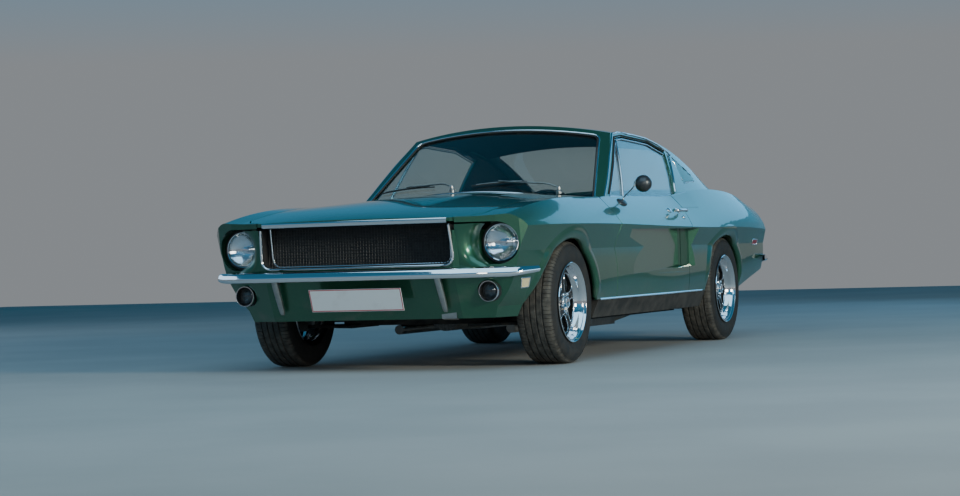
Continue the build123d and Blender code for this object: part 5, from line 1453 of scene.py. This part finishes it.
def cabin_linings():
    """Headliner, and dark trim over the painted inner faces that show through the glass."""
    lift = 0.0015
    lining("headliner", ("roof",), lambda c, n: n.z < -0.25 and c.z > 1.0, lift, LINER, "root")
    for side, sign in SIDES:
        def inside(c, n, sign=sign):
            return n.y * sign < -0.3 and -1.60 < c.x < -0.45 and 0.45 < c.z < 1.2 and abs(c.y) < 0.86

        lining(f"quarter_trim_{side}", (f"quarter_{side}",), inside, lift, LINER, "root")


# The door card's face across the car
CARD_Y = 0.699


def door_trim():
    """Padded card with an armrest, and the window's crank, inside each door."""
    outline = [(-0.430, 0.355), (0.560, 0.355), (0.560, 0.800), (0.520, 0.846), (-0.430, 0.846)]
    panel = slab([Vector((x, CARD_Y, z)) for x, z in rounded(outline, 0.03, 4)], 0.006)
    rest = rounded([(-0.150, 0.560), (0.260, 0.575), (0.260, 0.620), (-0.150, 0.610)], 0.016, 4)
    arm = skinned([[Vector((x, y, z)) for x, z in rest] for y in (0.6965, 0.650)])
    arm = through(arm, ("BEVEL", {"width": 0.008, "segments": 3}))
    crank = lathe([(0.0, 0.010), (0.016, 0.009), (0.020, 0.0)], (0.330, 0.694, 0.560), INWARD, 28)
    knob_line = [(0.0, 0.030), (0.009, 0.028), (0.011, 0.020), (0.006, 0.010), (0.006, 0.002)]
    knob = lathe(knob_line, (0.270, 0.690, 0.530), INWARD, 20)
    stick_line = [(0.330, 0.686, 0.560), (0.300, 0.683, 0.546), (0.270, 0.686, 0.530)]
    stick = bead(stick_line, [INWARD] * 3, 0.010, 0.006, CHROME)
    pair("door_card", joined(panel, arm), VINYL, "door_{side}_body")
    pair("window_crank", joined(crank, knob, stick), CHROME, "door_{side}_body")


# Steering wheel, as the model has it: hub, tilt of the column, radius
WHEEL_HUB, COLUMN_TILT, WHEEL_R = Vector((0.470, 0.370, 0.742)), radians(24), 0.185


def steering_wheel():
    """Thin rim with finger bumps, three drilled satin spokes, padded boss and column."""
    axis = Vector((-cos(COLUMN_TILT), 0, sin(COLUMN_TILT)))
    across = Vector((0, 1, 0))
    up = axis.cross(across)
    if up.z < 0:
        up = -up

    def at(radius, angle, along=0.0):
        return WHEEL_HUB + (across * cos(angle) + up * sin(angle)) * radius + axis * along

    ring = [tau * i / 72 for i in range(72)]
    rim_line = [at(WHEEL_R - 0.0012 * (i % 2), a) for i, a in enumerate(ring)]
    rim = bead(rim_line, [axis] * len(ring), 0.024, 0.022, VINYL, closed=True)
    pad_line = [(0.0, 0.030), (0.020, 0.029), (0.034, 0.024), (0.041, 0.014), (0.043, 0.0), (0.030, -0.014),
                (0.024, -0.030)]
    pad = lathe(pad_line, WHEEL_HUB, axis, 40)
    tube_line = [(0.0, -0.006), (0.024, -0.006), (0.024, -0.150), (0.030, -0.156), (0.030, -0.186),
                 (0.0, -0.186)]
    tube = lathe(tube_line, WHEEL_HUB, axis, 32)
    add("wheel_rim_and_pad", joined(rim, pad, tube), VINYL, "root", ("steering_wheel",))
    spokes, hole_line = [], [(0.0, 0.0008), (0.0055, 0.0008), (0.0065, 0.0)]
    for angle in (radians(0), radians(180), radians(270)):
        side = Vector(at(1.0, angle + tau / 4)) - WHEEL_HUB
        rows = []
        for reach, half, along in ((0.036, 0.019, 0.010), (0.070, 0.016, 0.006), (0.120, 0.0135, 0.002),
                                   (0.178, 0.012, 0.0)):
            middle = at(reach, angle, along)
            rows.append([middle + side * half, middle - side * half, middle - side * half - axis * 0.004,
                         middle + side * half - axis * 0.004])
        spokes.append(skinned(rows))
        for reach in (0.075, 0.105, 0.135):
            spokes.append(lathe(hole_line, at(reach, angle, 0.0075 - reach * 0.045), axis, 16))
    ring_line = [at(0.026, a, 0.028) for a in ring[::2]]
    spokes.append(bead(ring_line, [axis] * len(ring_line), 0.004, 0.004, SATIN, closed=True))
    add("wheel_spokes", joined(*spokes), SATIN, "root")


def dials():
    """Round instruments, knobs and the bright strip on the dashboard's face."""
    face = surface_of("dashboard")
    rings, faces = [], []
    for y, z, radius in ((0.475, 0.735, 0.048), (0.365, 0.735, 0.048), (0.275, 0.745, 0.026),
                         (0.420, 0.690, 0.020)):
        spots, outs = laid(face, [(BEHIND_X, y, z)], FORWARDS)
        if not spots:
            continue
        spot, out = spots[0], outs[0]
        ring_line = [(radius, -0.002), (radius + 0.002, 0.006), (radius + 0.006, 0.006),
                     (radius + 0.008, -0.002)]
        rings.append(lathe(ring_line, spot, out, 48))
        faces.append(lathe([(0.0, 0.0035), (radius, 0.0025), (radius, -0.002)], spot, out, 40))
        needle = out.cross(Vector((0, 1, 0))).normalized()
        start = spot + out * 0.005
        needle_line = [start + needle * reach for reach in (-0.006, radius * 0.4, radius * 0.8)]
        rings.append(bead(needle_line, [out] * 3, 0.0022, 0.0012, SATIN))
    line, outs = laid(face, [(BEHIND_X, y / 100, 0.752) for y in range(-60, 16, 4)], FORWARDS, 0.002)
    rings.append(bead(line, outs, 0.010, 0.006, SATIN))
    knob_line = [(0.0, 0.024), (0.010, 0.022), (0.012, 0.010), (0.008, 0.004), (0.008, -0.001)]
    for y in (0.05, -0.02, -0.09):
        spots, outs = laid(face, [(BEHIND_X, y, 0.700)], FORWARDS)
        if spots:
            rings.append(lathe(knob_line, spots[0], outs[0], 20))
    add("dial_rings", joined(*rings), SATIN, "root")
    add("dial_faces", joined(*faces), DIAL, "root")


def finishes_on_nodes():
    """The finishes of the model's own nodes, also of those that a finished piece stands for."""
    wanted = {
        PAINT: ("front_wing_left", "front_wing_right", "front_valance", "hood", "cowl", "roof",
                "quarter_left", "quarter_right", "rear_panels", "boot_lid", "door_left", "door_right"),
        GLASS: ("windscreen", "rear_window", "door_window_left", "door_window_right"),
        UNDERBODY: ("floor_pan", "front_suspension"),
        CAST: ("engine", "knuckle_left", "knuckle_right", "rear_axle"),
        STEEL: ("exhaust", "fuel_tank"),
        VINYL: ("dashboard", "seat_left", "seat_right", "rear_seat"),
        BLACK: ("grille", "steering_wheel"),
        CHROME: ("front_bumper", "rear_bumper", "door_mirror", "wipers"),
        RED_LENS: ("tail_lamps",),
        LAMP_GLASS: ("front_lamps",),
        PLATE: ("number_plate",),
        SPOKE_DARK: tuple(f"wheel_{end}_{side}" for end, _ in ENDS for side, _ in SIDES),
    }
    for finish, names in wanted.items():
        for name in names:
            nodes[name].data.materials[0] = finish
    for end, x in ENDS:
        rubber = tyre_finish(x)
        for side, _ in SIDES:
            nodes[f"tyre_{end}_{side}"].data.materials[0] = rubber


def studio_floor():
    """A plain pale floor under the wheels."""
    floor = sheet_of([[Vector((x, y, 0.0)) for y in (-14, 14)] for x in (-16, 18)])
    floor.materials.append(floor_finish())
    ground = bpy.data.objects.new("studio_floor", floor)
    bpy.context.scene.collection.objects.link(ground)


def studio_air():
    """Surroundings that go from pale grey at the horizon to dark blue overhead."""
    world = bpy.data.worlds.new("studio_air")
    world.use_nodes = True
    air = world.node_tree
    way = air.nodes.new("ShaderNodeTexCoord")
    parts = air.nodes.new("ShaderNodeSeparateXYZ")
    rise = air.nodes.new("ShaderNodeValToRGB")
    stops = ((0.0, (0.30, 0.32, 0.34)), (0.08, (0.30, 0.32, 0.34)), (0.17, (0.06, 0.31, 0.52)),
             (0.5, (0.03, 0.14, 0.24)))
    while len(rise.color_ramp.elements) < len(stops):
        rise.color_ramp.elements.new(0.5)
    for element, (place, colour) in zip(rise.color_ramp.elements, stops):
        element.position = place
        element.color = (*colour, 1)
    air.links.new(way.outputs["Generated"], parts.inputs[0])
    air.links.new(parts.outputs[2], rise.inputs[0])
    air.links.new(rise.outputs[0], air.nodes["Background"].inputs["Color"])
    air.nodes["Background"].inputs["Strength"].default_value = 0.8
    bpy.context.scene.world = world


def studio_lamps():
    """Soft light: a wide cool ceiling, a warm front and key, and dim cool sides and tail."""
    lamps = (
        ("ceiling", (5.2, 1.5, 6.5), (2.0, 0, 0), (9, 7), 330, (0.5, 0.8, 1.0)),
        ("front_soft", (15.0, 8.0, 3.2), (1.5, 0.3, 0.6), (3, 2.4), 260, (1.0, 0.94, 0.80)),
        ("key_soft", (5.6, 13.6, 4.0), (1.8, 0.6, 0.5), (2.6, 2.2), 1300, (1.0, 0.92, 0.70)),
        ("left_soft", (2.0, 9.0, 2.6), (0, 0, 0.8), (9, 2.0), 150, (0.35, 0.72, 1.0)),
        ("right_soft", (-1.0, -9.0, 3.0), (0, 0, 0.8), (9, 3.0), 120, (0.6, 0.8, 1.0)),
        ("tail_soft", (-9.0, 1.6, 3.6), (-1.5, 0, 0.8), (6, 3), 75, (0.20, 0.60, 1.0)),
    )
    for name, place, target, size, power, colour in lamps:
        data = bpy.data.lights.new(name, "AREA")
        data.shape = "RECTANGLE"
        data.size, data.size_y = size
        data.energy = power
        data.color = colour
        light = bpy.data.objects.new(name, data)
        light.location = place
        light.rotation_euler = (Vector(target) - Vector(place)).to_track_quat("-Z", "Y").to_euler()
        bpy.context.scene.collection.objects.link(light)


add_camera()
finishes_on_nodes()
studio_floor()
studio_air()
studio_lamps()
screen_trim()
side_trim()
door_glass_trim()
nose_trim()
grille_mesh()
lamps()
tyres()
wheels()
wipers()
mirror()
door_fittings()
arch_lips()
rear_trim()
tail_caps()
markers()
bumpers()
lamp_cheeks()
cove_sill()
shoulder_fill()
steering_wheel()
dials()
cabin_linings()
door_trim()
seats()
